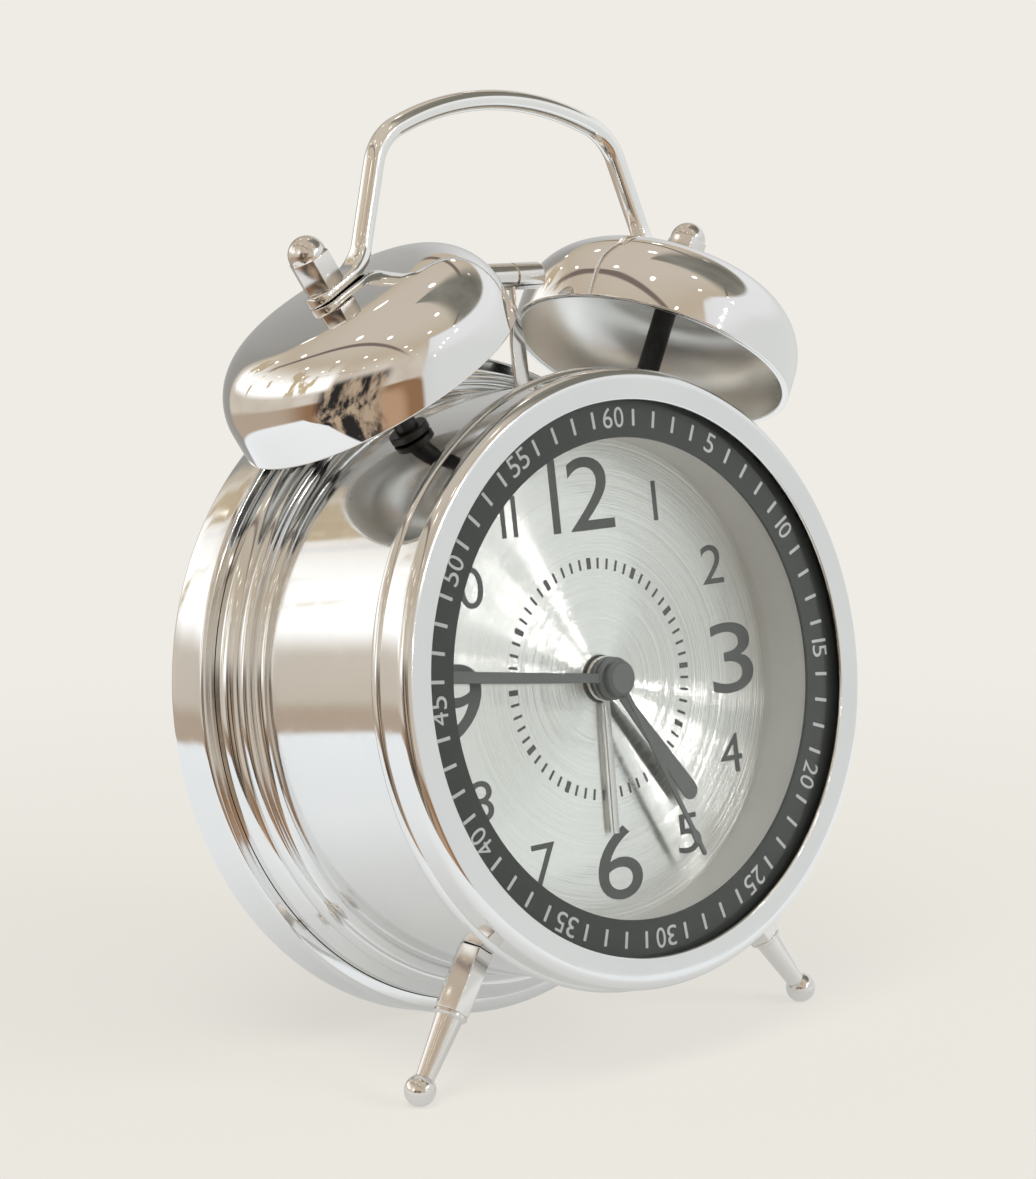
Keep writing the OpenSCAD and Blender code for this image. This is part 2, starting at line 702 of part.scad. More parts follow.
// A post stands on a collar outside the drum and carries its bell on a second collar,
// which stops where the inside of the crown has fallen away to at the collar's edge.
module bell_posts() {
    collar_r = post_d / 2 + 1.2;
    in_r = bell_crown_r - bell_t;
    crown_sag = in_r - sqrt(in_r * in_r - collar_r * collar_r);
    top_r = bell_top_r - bell_t - crown_sag - seat;
    thread_r0 = post_r0 + 1;
    color([0.3, 0.3, 0.3]) seated() mirror_pair() radial(bell_angle, bell_y) {
        translate([0, 0, post_r0]) cylinder(d = post_d, h = top_r - post_r0);
        translate([0, 0, case_r + fit]) cylinder(d = post_d + 3, h = 1.4);
        translate([0, 0, top_r - 1.6]) cylinder(r = collar_r, h = 1.6);
        translate([0, 0, thread_r0])
            cylinder(r = thread_r, h = nut_r0 + cap_nut_h - thread_over - thread_r0);
    }
}
module cap_nuts() {
    dome_r = cap_nut_af / 2;
    corner_r0 = dome_r / cos(30);
    hex_h = cap_nut_h - dome_r;
    color(nickel) seated() mirror_pair() radial(bell_angle, bell_y)
        translate([0, 0, nut_r0]) difference() {
            union() {
                intersection() {
                    hex(cap_nut_af, hex_h);
                    union() {
                        cylinder(r = corner_r0 + 0.1, h = hex_h - 0.8);
                        translate([0, 0, hex_h - 0.8 - eps])
                            cylinder(r1 = corner_r0 + 0.1, r2 = dome_r - 0.1, h = 0.8 + eps);
                    }
                }
                translate([0, 0, hex_h]) sphere(r = dome_r - 0.1);
            }
            translate([0, 0, -1])
                cylinder(r = thread_r + seat, h = cap_nut_h - thread_over + 0.5 + 1);
        }
}

// ---- handle --------------------------------------------------------------------------------
// Drawn flat, X right and Y up, and then stood up in the bells' plane.  Each point of the
// wire's path is held with the angle of its outward normal and how far it is flattened.
lug_dir = [cos(bell_angle), -sin(bell_angle)];
post_dir = [sin(bell_angle), cos(bell_angle)];
leg_dir = [sin(leg_splay), -cos(leg_splay)];
leg_foot = lug_mid_r * post_dir - leg_reach * lug_dir;
crown_c = [0, handle_z - crown_r];
corner_line = leg_foot - corner_r * [cos(leg_splay), sin(leg_splay)];
to_crown = corner_line - crown_c;
along = to_crown * leg_dir;
corner_t = -along - sqrt(along * along - to_crown * to_crown + pow(crown_r - corner_r, 2));
corner_c = corner_line + corner_t * leg_dir;
corner_a = atan2(corner_c[1] - crown_c[1], corner_c[0]);
leg_turn = 90 - bell_angle - leg_splay;
leg_tangent = leg_bend_r * tan(leg_turn / 2);
bend_c = leg_foot - leg_tangent * leg_dir + leg_bend_r * [cos(leg_splay), sin(leg_splay)];
lug_inner = 3.4;
function arc_path(c, r, a0, a1, steps) =
    [for (i = [1:steps]) let (a = a0 + (a1 - a0) * i / steps) [c + polar(r, a), a, 0]];
function bend_path(steps) =
    [for (i = [0:steps]) let (a = leg_splay + leg_turn * i / steps)
        [bend_c - polar(leg_bend_r, a), a, i / steps]];
half_path = concat(arc_path(crown_c, crown_r, 90, corner_a, 10),
    arc_path(corner_c, corner_r, corner_a, leg_splay, 12), bend_path(10),
    [[lug_mid_r * post_dir - lug_inner * lug_dir, 90 - bell_angle, 1]]);
left_path = [for (i = [len(half_path) - 1:-1:0])
    [[-half_path[i][0][0], half_path[i][0][1]], 180 - half_path[i][1], half_path[i][2]]];
wire_path = concat(left_path, [[[0, handle_z], 90, 0]], half_path);
module wire() {
    sides = 16;
    rings = len(wire_path);
    points = [for (p = wire_path, j = [0:sides - 1])
        let (thick = wire_d / 2 + (lug_t - 0.1 - wire_d) / 2 * p[2],
            wide = wire_d / 2 + (lug_w - 0.3 - wire_d) / 2 * p[2],
            out = thick * cos(j * 360 / sides))
        [p[0][0] + out * cos(p[1]), p[0][1] + out * sin(p[1]), wide * sin(j * 360 / sides)]];
    walls = [for (i = [0:rings - 2], j = [0:sides - 1], half = [0, 1])
        let (k = (j + 1) % sides, a = i * sides, b = a + sides)
        half == 0 ? [a + j, b + j, b + k] : [a + j, b + k, a + k]];
    ends = [[for (j = [0:sides - 1]) j], [for (j = [sides - 1:-1:0]) (rings - 1) * sides + j]];
    polyhedron(points, concat(walls, ends), convexity = 4);
}
module lug() {
    difference() {
        translate(lug_mid_r * post_dir) rotate([90, 0, -bell_angle])
            translate([0, 0, -lug_t / 2]) linear_extrude(lug_t) {
                translate([-lug_inner - 0.4, -lug_w / 2]) square([lug_inner + 1.8, lug_w]);
                translate([1.4, 0]) circle(d = lug_w);
            }
        translate((lug_mid_r - 5) * post_dir) rotate([-90, 0, -bell_angle])
            cylinder(r = thread_r + fit, h = 10);
    }
}
module handle() {
    color(chrome) seated() translate([0, bell_y, 0]) rotate([90, 0, 0]) {
        wire();
        mirror_pair() lug();
    }
}

// ---- striker -------------------------------------------------------------------------------
arm_z1 = head_z + head_d / 4;
twist_z0 = case_r + 7;
twist_z1 = head_z - head_d / 2 - 1.5;
module hammer_head() {
    round_r = 0.5;
    color(nickel) seated() difference() {
        translate([0, strike_y, head_z]) rotate([0, 90, 0]) rotate_extrude() difference() {
            union() {
                translate([0, -head_l / 2]) square([head_d / 2 - round_r, head_l]);
                translate([0, -head_l / 2 + round_r]) square([head_d / 2, head_l - 2 * round_r]);
                for (s = [-1, 1]) translate([head_d / 2 - round_r, s * (head_l / 2 - round_r)])
                    circle(r = round_r);
            }
            translate([head_d / 2 - 0.25, -0.25]) square([1, 0.5]);
        }
        translate([0, strike_y, head_z - head_d]) rotate([0, 0, arm_twist])
            translate([-arm_w / 2 - seat, -arm_t / 2 - seat, 0])
                cube([arm_w + 2 * seat, arm_t + 2 * seat, arm_z1 + seat - head_z + head_d]);
    }
}
module hammer_arm() {
    color(nickel) seated() {
        difference() {
            union() {
                box(-arm_w / 2, arm_w / 2, strike_y - arm_t / 2, strike_y + arm_t / 2,
                    armature_z0 + 1.5, twist_z0);
                along_y(strike_y - 2, [0, pivot_z]) cylinder(r = pin_d / 2 + 1.4, h = 4);
            }
            along_y(strike_y - 3, [0, pivot_z]) cylinder(r = pin_d / 2 + run_fit, h = 6);
        }
        translate([0, strike_y, twist_z0]) linear_extrude(twist_z1 - twist_z0,
            twist = -arm_twist, slices = 12, $fn = 4) square([arm_w, arm_t], center = true);
        translate([0, strike_y, twist_z1]) rotate([0, 0, arm_twist])
            translate([-arm_w / 2, -arm_t / 2, 0]) cube([arm_w, arm_t, arm_z1 - twist_z1]);
    }
}
module hammer_armature() {
    color(steel) seated() difference() {
        box(-armature_w / 2, armature_w / 2, strike_y - 2.5, strike_y + 2.5,
            armature_z0, armature_z0 + armature_h);
        box(-arm_w / 2 - seat, arm_w / 2 + seat, strike_y - arm_t / 2 - seat,
            strike_y + arm_t / 2 + seat, armature_z0 + 1.5 - seat, pivot_z);
    }
}
module hammer_pin() {
    color(steel) seated() along_y(ear_y0, [0, pivot_z])
        cylinder(d = pin_d, h = ear_y1 - ear_y0 + 0.8);
}
module striker_bracket() {
    base_w = 12;
    ear_w = 20;
    color(steel) seated() difference() {
        union() {
            box(-base_w / 2, base_w / 2, ear_y0, ear_y1, bracket_z0, bracket_z0 + bracket_t);
            box(-ear_w / 2, ear_w / 2, ear_y0, ear_y0 + bracket_t, bracket_z0, pivot_z + 4);
            box(-base_w / 2, base_w / 2, ear_y1 - bracket_t, ear_y1, bracket_z0, pivot_z + 3);
        }
        along_y(ear_y0 - 1, [0, pivot_z]) cylinder(r = pin_d / 2 + seat, h = ear_gap + 8);
        for (p = bracket_screw_xz()) along_y(ear_y0 - 1, p) cylinder(r = 1.1, h = 4);
        translate([0, strike_y, bracket_z0 - 1]) cylinder(r = 1.2 + seat, h = 4);
    }
}
module small_screw(y, xz, under) {
    along_y(y, xz) {
        difference() {
            cylinder(r = 1.7, h = 1);
            translate([-2, -0.25, 0.6]) cube([4, 0.5, 1]);
        }
        translate([0, 0, -under]) cylinder(r = 0.78, h = under + 0.1);
    }
}
module bracket_screws() {
    color(steel) seated() for (p = bracket_screw_xz())
        small_screw(ear_y0 + bracket_t + seat, p, bracket_t + 2.6);
}
module striker_core() {
    z0 = bracket_z0 + bracket_t;
    color(steel) seated() translate([0, strike_y, 0]) {
        translate([0, 0, bracket_z0]) cylinder(r = 1.2, h = bracket_t + 1);
        translate([0, 0, z0 + seat]) cylinder(r = 1.8, h = core_z1 - z0 - seat);
    }
}
module striker_coil() {
    z0 = bracket_z0 + bracket_t + seat;
    h = core_z1 - z0 - 0.5;
    flange = 0.7;
    color([0.72, 0.42, 0.24]) seated() translate([0, strike_y, z0]) difference() {
        union() {
            cylinder(r = 3.4, h = h);
            cylinder(r = 3.9, h = flange);
            translate([0, 0, h - flange]) cylinder(r = 3.9, h = flange);
        }
        translate([0, 0, -1]) cylinder(r = 1.8 + seat, h = h + 2);
    }
}

// ---- movement ------------------------------------------------------------------------------
pivots = [time_xz, alarm_xz, third_xz, rotor_xz];
pivot_r = 0.6;
module movement_base() {
    ear = 5;
    color([0.2, 0.2, 0.2]) seated() difference() {
        union() {
            box(-move_w / 2 - ear, move_w / 2 + ear, chassis_y1, base_y1,
                move_z - move_h / 2, move_z + move_h / 2);
            along_y(dial_depth - 0.5) cylinder(r = bush_r, h = chassis_y1 - dial_depth + 0.5 + eps);
        }
        along_y(dial_depth - 1) cylinder(r = bush_in_r, h = move_d);
        for (p = pivots) along_y(chassis_y1 - 1, p) cylinder(r = pivot_r + run_fit, h = 5);
        for (p = movement_screw_xz()) along_y(chassis_y1 - 1, p) cylinder(r = 1.1, h = 5);
    }
}
module movement_cover() {
    z0 = move_z - move_h / 2;
    w = move_wall;
    color([0.2, 0.2, 0.2]) seated() difference() {
        box(-move_w / 2, move_w / 2, base_y1, move_y1, z0, z0 + move_h);
        box(-move_w / 2 + w, move_w / 2 - w, base_y1 - 1, move_in_y1, z0 + w, z0 + move_h - w);
        for (p = [time_xz, alarm_xz]) along_y(move_in_y1 - 1, p)
            cylinder(r = shaft_d / 2 + run_fit, h = 5);
        for (p = [third_xz, rotor_xz]) along_y(move_in_y1 - 1, p)
            cylinder(r = pivot_r + run_fit, h = 5);
        along_y(move_in_y1 - 1) cylinder(r = second_r + run_fit, h = 5);
    }
}
module movement_screws() {
    color(steel) seated() for (p = movement_screw_xz())
        small_screw(base_y1 + seat, p, move_wall + 1.4);
}
module circuit_board() {
    y0 = move_in_y1 - 2.2;
    color([0.15, 0.4, 0.22]) seated() {
        box(-9.5, 6.5, y0, y0 + 0.8, 6, 15);
        box(-7, -1, y0 - 0.8, y0 + eps, 8, 13);
        for (x = [-8, 5]) box(x - 0.8, x + 0.8, y0 + 0.8 - eps, move_in_y1, 6.5, 8);
    }
}
stator_t = 1;
stator_y = rotor_y + 0.5;
magnet_r = 2.5;
magnet_h = 2;
magnet_gap = 0.5;
core_h = 2.4;       // height of the stator's lower leg, which is the coil's core
coil_r = 2.4;
coil_drop = 8.6;    // from the rotor's axis down to the coil's
window_l = 15;
window_h = 5.6;
window_x1 = rotor_xz[0] - 5;
window_x0 = window_x1 - window_l;
stator_x0 = window_x0 - 3;
stator_x1 = rotor_xz[0] + 6;
coil_z = rotor_xz[1] - coil_drop;
stator_z0 = coil_z - core_h / 2;
window_z0 = coil_z + core_h / 2;
rail_z1 = window_z0 + window_h + 2.2;
pole_z1 = rotor_xz[1] + magnet_r + 0.7;
// A frame with its lower leg inside the coil and a pole round the rotor's magnet.
module stator() {
    color(steel) seated() difference() {
        plate(stator_y, stator_t) difference() {
            translate([stator_x0, stator_z0])
                square([stator_x1 - stator_x0, pole_z1 - stator_z0]);
            translate([window_x0, window_z0]) square([window_l, window_h]);
            translate([stator_x0 - 1, rail_z1])
                square([window_x1 - stator_x0 + 1, pole_z1 - rail_z1 + 1]);
        }
        along_y(stator_y - 1, rotor_xz) cylinder(r = magnet_r + magnet_gap, h = stator_t + 2);
    }
}
module drive_coil() {
    end_gap = 0.2;
    y = stator_y + stator_t / 2;
    color([0.72, 0.42, 0.24]) seated() difference() {
        translate([window_x0 + end_gap, y, coil_z]) rotate([0, 90, 0])
            cylinder(r = coil_r, h = window_l - 2 * end_gap);
        box(window_x0 - 1, window_x1 + 1, y - stator_t / 2 - seat, y + stator_t / 2 + seat,
            stator_z0 - seat, window_z0 + seat);
    }
}
module rotor() {
    color(steel) seated() {
        along_y(chassis_y1 + 0.1, rotor_xz) cylinder(r = pivot_r, h = move_d - 0.2);
        gear(third_y - 0.2, wheel_t + 0.4, rotor_xz, rotor_z, mod_rotor,
            gap_angle(rotor_z, rotor_dir + 180));
        along_y(rotor_y, rotor_xz) cylinder(r = magnet_r, h = magnet_h);
    }
}
module third_wheel() {
    color(brass) seated() {
        along_y(chassis_y1 + 0.1, third_xz) cylinder(r = pivot_r, h = move_d - 0.2);
        gear(second_y - 0.2, wheel_t + 0.4, third_xz, third_pinion_z, mod_second,
            third_dir + 180);
        gear(third_y, wheel_t, third_xz, third_z, mod_rotor, rotor_dir);
    }
}
module second_wheel() {
    color(brass) seated() {
        along_y(second_hand_y) cylinder(r = second_r, h = move_y1 - 0.1 - second_hand_y);
        gear(second_y, wheel_t, [0, 0], second_z, mod_second, gap_angle(second_z, third_dir));
    }
}
module minute_arbor() {
    color(brass) seated() difference() {
        union() {
            along_y(minute_hand_y) cylinder(r = minute_r, h = minute_y + wheel_t - minute_hand_y);
            gear(minute_y, wheel_t, [0, 0], minute_z, mod_minute, gap_angle(minute_z, time_dir));
        }
        along_y(minute_hand_y - 1) cylinder(r = minute_in_r, h = move_d + 10);
    }
}
module hour_wheel() {
    color(brass) seated() difference() {
        union() {
            along_y(hour_hand_y) cylinder(r = hour_r, h = hour_y + wheel_t - hour_hand_y);
            gear(hour_y, wheel_t, [0, 0], hour_z, mod_hour, gap_angle(hour_z, time_dir));
        }
        along_y(hour_hand_y - 1) cylinder(r = hour_in_r, h = move_d + 10);
    }
}
module alarm_wheel() {
    color(brass) seated() difference() {
        union() {
            along_y(alarm_hand_y) cylinder(r = alarm_r, h = alarm_y + wheel_t - alarm_hand_y);
            gear(alarm_y, wheel_t, [0, 0], alarm_z, mod_alarm, gap_angle(alarm_z, alarm_dir));
        }
        along_y(alarm_hand_y - 1) cylinder(r = alarm_in_r, h = move_d + 10);
    }
}
module time_arbor() {
    color(brass) seated() {
        along_y(chassis_y1 + 0.1, time_xz) cylinder(r = pivot_r, h = 2);
        along_y(base_y1 + 0.2, time_xz) cylinder(d = shaft_d, h = shaft_y1 - base_y1 - 0.2);
        gear(hour_y - 0.1, wheel_t + 0.2, time_xz, inter_pinion_z, mod_hour, time_dir + 180);
        gear(minute_y, wheel_t, time_xz, inter_z, mod_minute, time_dir + 180);
    }
}
module alarm_arbor() {
    color(brass) seated() {
        along_y(chassis_y1 + 0.1, alarm_xz) cylinder(r = pivot_r, h = 2);
        along_y(base_y1 + 0.2, alarm_xz) cylinder(d = shaft_d, h = shaft_y1 - base_y1 - 0.2);
        gear(alarm_y, wheel_t, alarm_xz, alarm_set_z, mod_alarm, alarm_dir + 180);
    }
}

// ---- hands ---------------------------------------------------------------------------------
hour_turn = rest_minutes / 2;
minute_turn = (rest_minutes % 60) * 6;
second_turn = rest_seconds * 6;
alarm_turn = rest_alarm * 30;
hub_r = 3.7;
hub_step = 0.1;     // how much smaller each hub is than the one behind it
root_w = 1.5;       // width of the hour and minute hands at the middle
second_tail = 3;
bulge_w = 1.56;
bulge_gap = 3.7;    // from the middle of the second hand's bulge to its tip
cap_rise = 0.6;
cap_edge = 0.5;
// A hand is drawn pointing up, with its blade in the middle of its hub's thickness.
module hand(y, turn, r_in, hub) {
    seated() difference() {
        union() {
            plate(y + (hub_t - hand_t) / 2, hand_t) rotate(-turn) children();
            along_y(y) cylinder(r = hub, h = hub_t);
        }
        along_y(y - 1) cylinder(r = r_in + seat, h = hub_t + 2);
    }
}
module hour_hand() {
    tip_r = hour_w / 2;
    color([0.28, 0.29, 0.29]) hand(hour_hand_y, hour_turn, hour_r, hub_r - hub_step) {
        translate([0, hour_l - tip_r]) circle(r = tip_r);
        polygon([[-root_w / 2, 0], [-tip_r, hour_l - tip_r], [tip_r, hour_l - tip_r],
            [root_w / 2, 0]]);
    }
}
module minute_hand() {
    half = minute_w / 2;
    color([0.28, 0.29, 0.29]) hand(minute_hand_y, minute_turn, minute_r, hub_r - 2 * hub_step) {
        translate([0, minute_l - half]) circle(r = half);
        polygon([[-root_w / 2, 0], [-half, minute_l - half], [half, minute_l - half],
            [root_w / 2, 0]]);
    }
}
module alarm_hand() {
    half = alarm_w / 2;
    color([0.8, 0.8, 0.8]) hand(alarm_hand_y, alarm_turn, alarm_r, hub_r)
        translate([-half, 0]) square([alarm_w, alarm_l]);
}
module second_hand() {
    half = second_w / 2;
    front = second_hand_y - cap_rise;
    back = second_hand_y + hub_t;
    color([0.25, 0.26, 0.26]) seated() difference() {
        union() {
            plate(second_hand_y + (hub_t - hand_t) / 2, hand_t) rotate(-second_turn) {
                translate([-half, -second_tail]) square([second_w, second_l + second_tail - half]);
                translate([0, second_l - half]) circle(r = half);
                translate([0, second_l - bulge_gap]) scale([1, 1.6]) circle(d = bulge_w);
            }
            along_y(front + cap_edge) cylinder(d = cap_d, h = back - front - cap_edge);
            along_y(front)
                cylinder(r1 = cap_d / 2 - cap_edge, r2 = cap_d / 2, h = cap_edge + eps);
        }
        along_y(second_hand_y - seat) cylinder(r = second_r + seat, h = hub_t + 1);
    }
}

case_drum();
rear_rim();
front_bezel();
lens();
minute_ring();
spacer_ring();
dial_plate();
chassis_plate();
rear_cover();
case_screws();
left_foot();
right_foot();
foot_nuts();
left_bell();
right_bell();
bell_posts();
post_nuts();
cap_nuts();
handle();
hammer_head();
hammer_arm();
hammer_armature();
hammer_pin();
striker_bracket();
bracket_screws();
striker_core();
striker_coil();
movement_base();
movement_cover();
movement_screws();
circuit_board();
stator();
drive_coil();
rotor();
third_wheel();
second_wheel();
second_hand();
minute_arbor();
minute_hand();
hour_wheel();
hour_hand();
alarm_wheel();
alarm_hand();
time_arbor();
time_knob();
alarm_arbor();
alarm_knob();
battery_cells();
battery_contacts();
battery_door();
switch_body();
switch_slider();
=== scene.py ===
"""A twin-bell alarm clock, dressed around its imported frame.

Shapes are drawn in millimetres in the clock's own frame: X runs to the right as seen from the
front, Y from the dial to the back and Z up along the dial, with the origin in the middle of the
minute ring.  SEAT carries that frame to the leaning clock on its feet, in metres.
"""
import json
import math

import bmesh
import bpy
from mathutils import Matrix, Vector

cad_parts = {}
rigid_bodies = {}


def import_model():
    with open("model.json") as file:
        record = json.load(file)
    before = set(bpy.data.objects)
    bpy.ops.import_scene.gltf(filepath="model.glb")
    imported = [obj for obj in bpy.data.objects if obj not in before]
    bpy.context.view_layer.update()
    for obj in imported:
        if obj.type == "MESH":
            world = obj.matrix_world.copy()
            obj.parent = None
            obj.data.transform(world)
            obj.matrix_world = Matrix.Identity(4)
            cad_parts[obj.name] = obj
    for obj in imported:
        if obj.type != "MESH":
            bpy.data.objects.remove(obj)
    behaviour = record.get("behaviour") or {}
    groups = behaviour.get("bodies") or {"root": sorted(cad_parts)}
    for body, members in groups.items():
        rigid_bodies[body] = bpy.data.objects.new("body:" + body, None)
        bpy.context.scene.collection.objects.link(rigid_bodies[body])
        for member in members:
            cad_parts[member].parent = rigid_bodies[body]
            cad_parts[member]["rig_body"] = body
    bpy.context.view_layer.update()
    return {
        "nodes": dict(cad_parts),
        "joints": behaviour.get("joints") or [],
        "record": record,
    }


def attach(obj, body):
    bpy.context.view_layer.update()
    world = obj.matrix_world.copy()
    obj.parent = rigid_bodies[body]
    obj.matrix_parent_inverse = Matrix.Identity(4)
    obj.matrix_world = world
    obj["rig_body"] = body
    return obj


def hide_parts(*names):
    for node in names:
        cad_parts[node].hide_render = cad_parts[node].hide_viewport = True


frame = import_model()
scene = bpy.context.scene

# ---- the clock's frame ------------------------------------------------------------------------
MM = 0.001
dial_axis = next(j for j in frame["joints"] if j["name"] == "minute_turn")
CENTRE = Vector(dial_axis["pos_m"])
DEPTH = Vector(dial_axis["axis"]).normalized()
ACROSS = Vector((1, 0, 0))
LEANT = Matrix((ACROSS, DEPTH, ACROSS.cross(DEPTH))).transposed().to_4x4()
SEAT = Matrix.Translation(CENTRE) @ LEANT @ Matrix.Scale(MM, 4)

# ---- sizes of the case, in millimetres ---------------------------------------------------------
CASE_R = 49
CASE_WALL = 1
DRUM_Y0 = 0.7
REAR_Y = 50.8
COVE_R = 1.6
COVE_Y = 34.5
BEAD = (50.9, 37.3)
BEAD_R = 1.3
ROUND = (51.0, 40.9)
ROUND_R = 2.8
RIM_R = 56.3
RIM_Y = 41.8
RIM_CORNER = 0.8
RIM_EDGE = 0.9
BEZEL_R = 50
BEZEL_Y = -2.1
BEZEL_OPEN_R = 44.7
BEZEL_ROUND = 2
SKIRT_Y = 6.3
DIAL_Y = 9.4

# ---- sizes of the bells, the handle, the striker and the feet ----------------------------------
BELL_ANGLE = math.radians(30)
BELL_Y = 21.2
BELL_R = 24.5
BELL_H = 16.5
BELL_T = 1.2
BELL_ROUND = 11
BELL_CROWN_RISE = 0.7
BELL_PLANE = 59.2
BELL_TOP = BELL_PLANE + BELL_H
LUG_T = 1.8
LUG_W = 5.6
NUT_AF = 6.2
NUT_H = 8.8
POST_D = 3.8
WIRE_D = 3.36
HANDLE_Z = 96.4
CROWN_R = 53
CORNER_R = 9.5
LEG_SPLAY = math.radians(18)
LEG_REACH = 7.8
LEG_BEND_R = 7
PIVOT_Z = 38
HEAD_Z = 67.2
HEAD_D = 4.5
HEAD_L = 12
ARM_W = 3
ARM_T = 0.8
ARM_TWIST = math.radians(55)
FOOT_ANGLE = math.radians(180 - 35.9)
FOOT_Y = 13.5
FOOT_AF = 5.3
FOOT_HEX_L = 10.9
FOOT_BALL_AT = 73.1
FOOT_BALL_D = 5.1

MIRROR = Matrix.Scale(-1, 4, (1, 0, 0))
TO_BACK = Matrix.Rotation(-math.pi / 2, 4, "X")
TO_FRONT = Matrix.Rotation(math.pi / 2, 4, "X")


def spot(x, y, z):
    return Matrix.Translation((x, y, z))


def radial(angle, y):
    """A place whose Z runs outwards from the drum's axis at a clock angle."""
    return spot(0, y, 0) @ Matrix.Rotation(angle, 4, "Y")


# ---- shader maths -------------------------------------------------------------------------------
class Signal:
    """A shader socket that Python's own operators work on."""

    def __init__(self, paint, socket):
        self.paint = paint
        self.socket = socket

    def math(self, operation, *terms):
        return self.paint.add("ShaderNodeMath", {"operation": operation}, dict(enumerate(terms)))

    def __add__(self, other):
        return self.math("ADD", self, other)

    def __sub__(self, other):
        return self.math("SUBTRACT", self, other)

    def __rsub__(self, other):
        return self.math("SUBTRACT", other, self)

    def __mul__(self, other):
        return self.math("MULTIPLY", self, other)

    __radd__ = __add__
    __rmul__ = __mul__

    def step(self, low, high):
        """Runs smoothly from 0 at low to 1 at high."""
        return self.paint.add(
            "ShaderNodeMapRange",
            {"interpolation_type": "SMOOTHSTEP"},
            {"Value": self, "From Min": low, "From Max": high},
        )


class Paint:
    """A node tree in the making, of a material or of the world."""

    def __init__(self, owner):
        owner.use_nodes = True
        self.tree = owner.node_tree
        self.tree.nodes.clear()
        self.owner = owner

    def add(self, kind, settings=None, inputs=None, output=0):
        """Adds a node, sets it up, feeds its sockets, and gives one of its outputs."""
        node = self.tree.nodes.new(kind)
        for key, value in (settings or {}).items():
            setattr(node, key, value)
        for key, value in (inputs or {}).items():
            if isinstance(value, Signal):
                self.tree.links.new(value.socket, node.inputs[key])
            else:
                node.inputs[key].default_value = value
        return Signal(self, node.outputs[output]) if len(node.outputs) else None

    def place(self):
        """Where a point is in the row frame, in metres."""
        return self.add("ShaderNodeTexCoord", output="Object")

    def vector(self, operation, *terms, output=0):
        return self.add("ShaderNodeVectorMath", {"operation": operation}, dict(enumerate(terms)), output)

    def scaled(self, vector, share):
        """A vector made longer or shorter by a number."""
        return self.add("ShaderNodeVectorMath", {"operation": "SCALE"}, {0: vector, "Scale": share})

    def waver(self, along):
        """Noise along a line, from a single number."""
        return self.add("ShaderNodeTexNoise", {"noise_dimensions": "1D"}, {"W": along, "Scale": 1.0})

    def noise(self, where, scale, detail=2.0, rough=0.5):
        return self.add(
            "ShaderNodeTexNoise",
            {"noise_dimensions": "3D"},
            {"Vector": where, "Scale": scale, "Detail": detail, "Roughness": rough},
        )

    def stretched(self, where, scale):
        """The same place with each axis scaled, for streaks."""
        return self.vector("MULTIPLY", where, scale)

    def mix(self, mask, low, high):
        """A colour between two, by a mask."""
        return self.add(
            "ShaderNodeMix", {"data_type": "RGBA"}, {0: mask, 6: colour4(low), 7: colour4(high)}, 2
        )

    def bump(self, height, depth_mm, strength=1.0):
        return self.add(
            "ShaderNodeBump", {}, {"Height": height, "Distance": depth_mm * MM, "Strength": strength}
        )

    def finish(self, **sockets):
        """Ends the material in a Principled shader with these sockets."""
        named = {key.replace("_", " ").title(): value for key, value in sockets.items()}
        if "Ior" in named:
            named["IOR"] = named.pop("Ior")
        shader = self.add("ShaderNodeBsdfPrincipled", {}, named)
        self.add("ShaderNodeOutputMaterial", {}, {"Surface": shader})
        return self.owner


def colour4(value):
    return value if isinstance(value, Signal) else (*value, 1)


def material(name):
    return Paint(bpy.data.materials.new(name))


# ---- finishes -----------------------------------------------------------------------------------
def plated(name, base, shade, rough, rough_more, ripple_mm, dull_inside=False):
    """Bright plate: clouded a little, with finger marks in its gloss and ripples in its form."""
    paint = material(name)
    where = paint.place()
    cloud = paint.noise(where, 45, 3)
    marks = paint.noise(where, 260, 5, 0.65).step(0.45, 0.7)
    ripple = paint.noise(where, 110, 1)
    colour = paint.mix(cloud, shade, base)
    gloss = marks * rough_more + rough
    if dull_inside:
        inside = paint.add("ShaderNodeAttribute", {"attribute_name": "inside"}, output="Fac")
        colour = paint.mix(inside, colour, (0.97, 0.97, 0.95))
        gloss = gloss + inside * (cloud * 0.14 + 0.2)
    return paint.finish(
        base_color=colour, metallic=1.0, roughness=gloss, normal=paint.bump(ripple, ripple_mm)
    )


def cast_plastic(name, base, shade, rough, grain_mm):
    """Moulded plastic with a fine even grain."""
    paint = material(name)
    where = paint.place()
    cloud = paint.noise(where, 70, 3)
    grain = paint.noise(where, 2600, 2)
    return paint.finish(
        base_color=paint.mix(cloud, shade, base),
        roughness=grain * 0.12 + rough,
        normal=paint.bump(grain, grain_mm),
    )


def drawn_metal(name, base, shade, rough, streak):
    """Bar and sheet metal with fine streaks along one axis."""
    paint = material(name)
    lines = paint.noise(paint.stretched(paint.place(), streak), 900, 3)
    return paint.finish(
        base_color=paint.mix(lines, shade, base),
        metallic=1.0,
        roughness=lines * 0.18 + rough,
        normal=paint.bump(lines, 0.01),
    )


def enamel(name, base, shade, rough):
    """Thin sprayed paint or ink."""
    paint = material(name)
    where = paint.place()
    cloud = paint.noise(where, 90, 2)
    peel = paint.noise(where, 1500, 2)
    return paint.finish(
        base_color=paint.mix(cloud, shade, base),
        roughness=peel * 0.1 + rough,
        normal=paint.bump(peel, 0.004),
    )


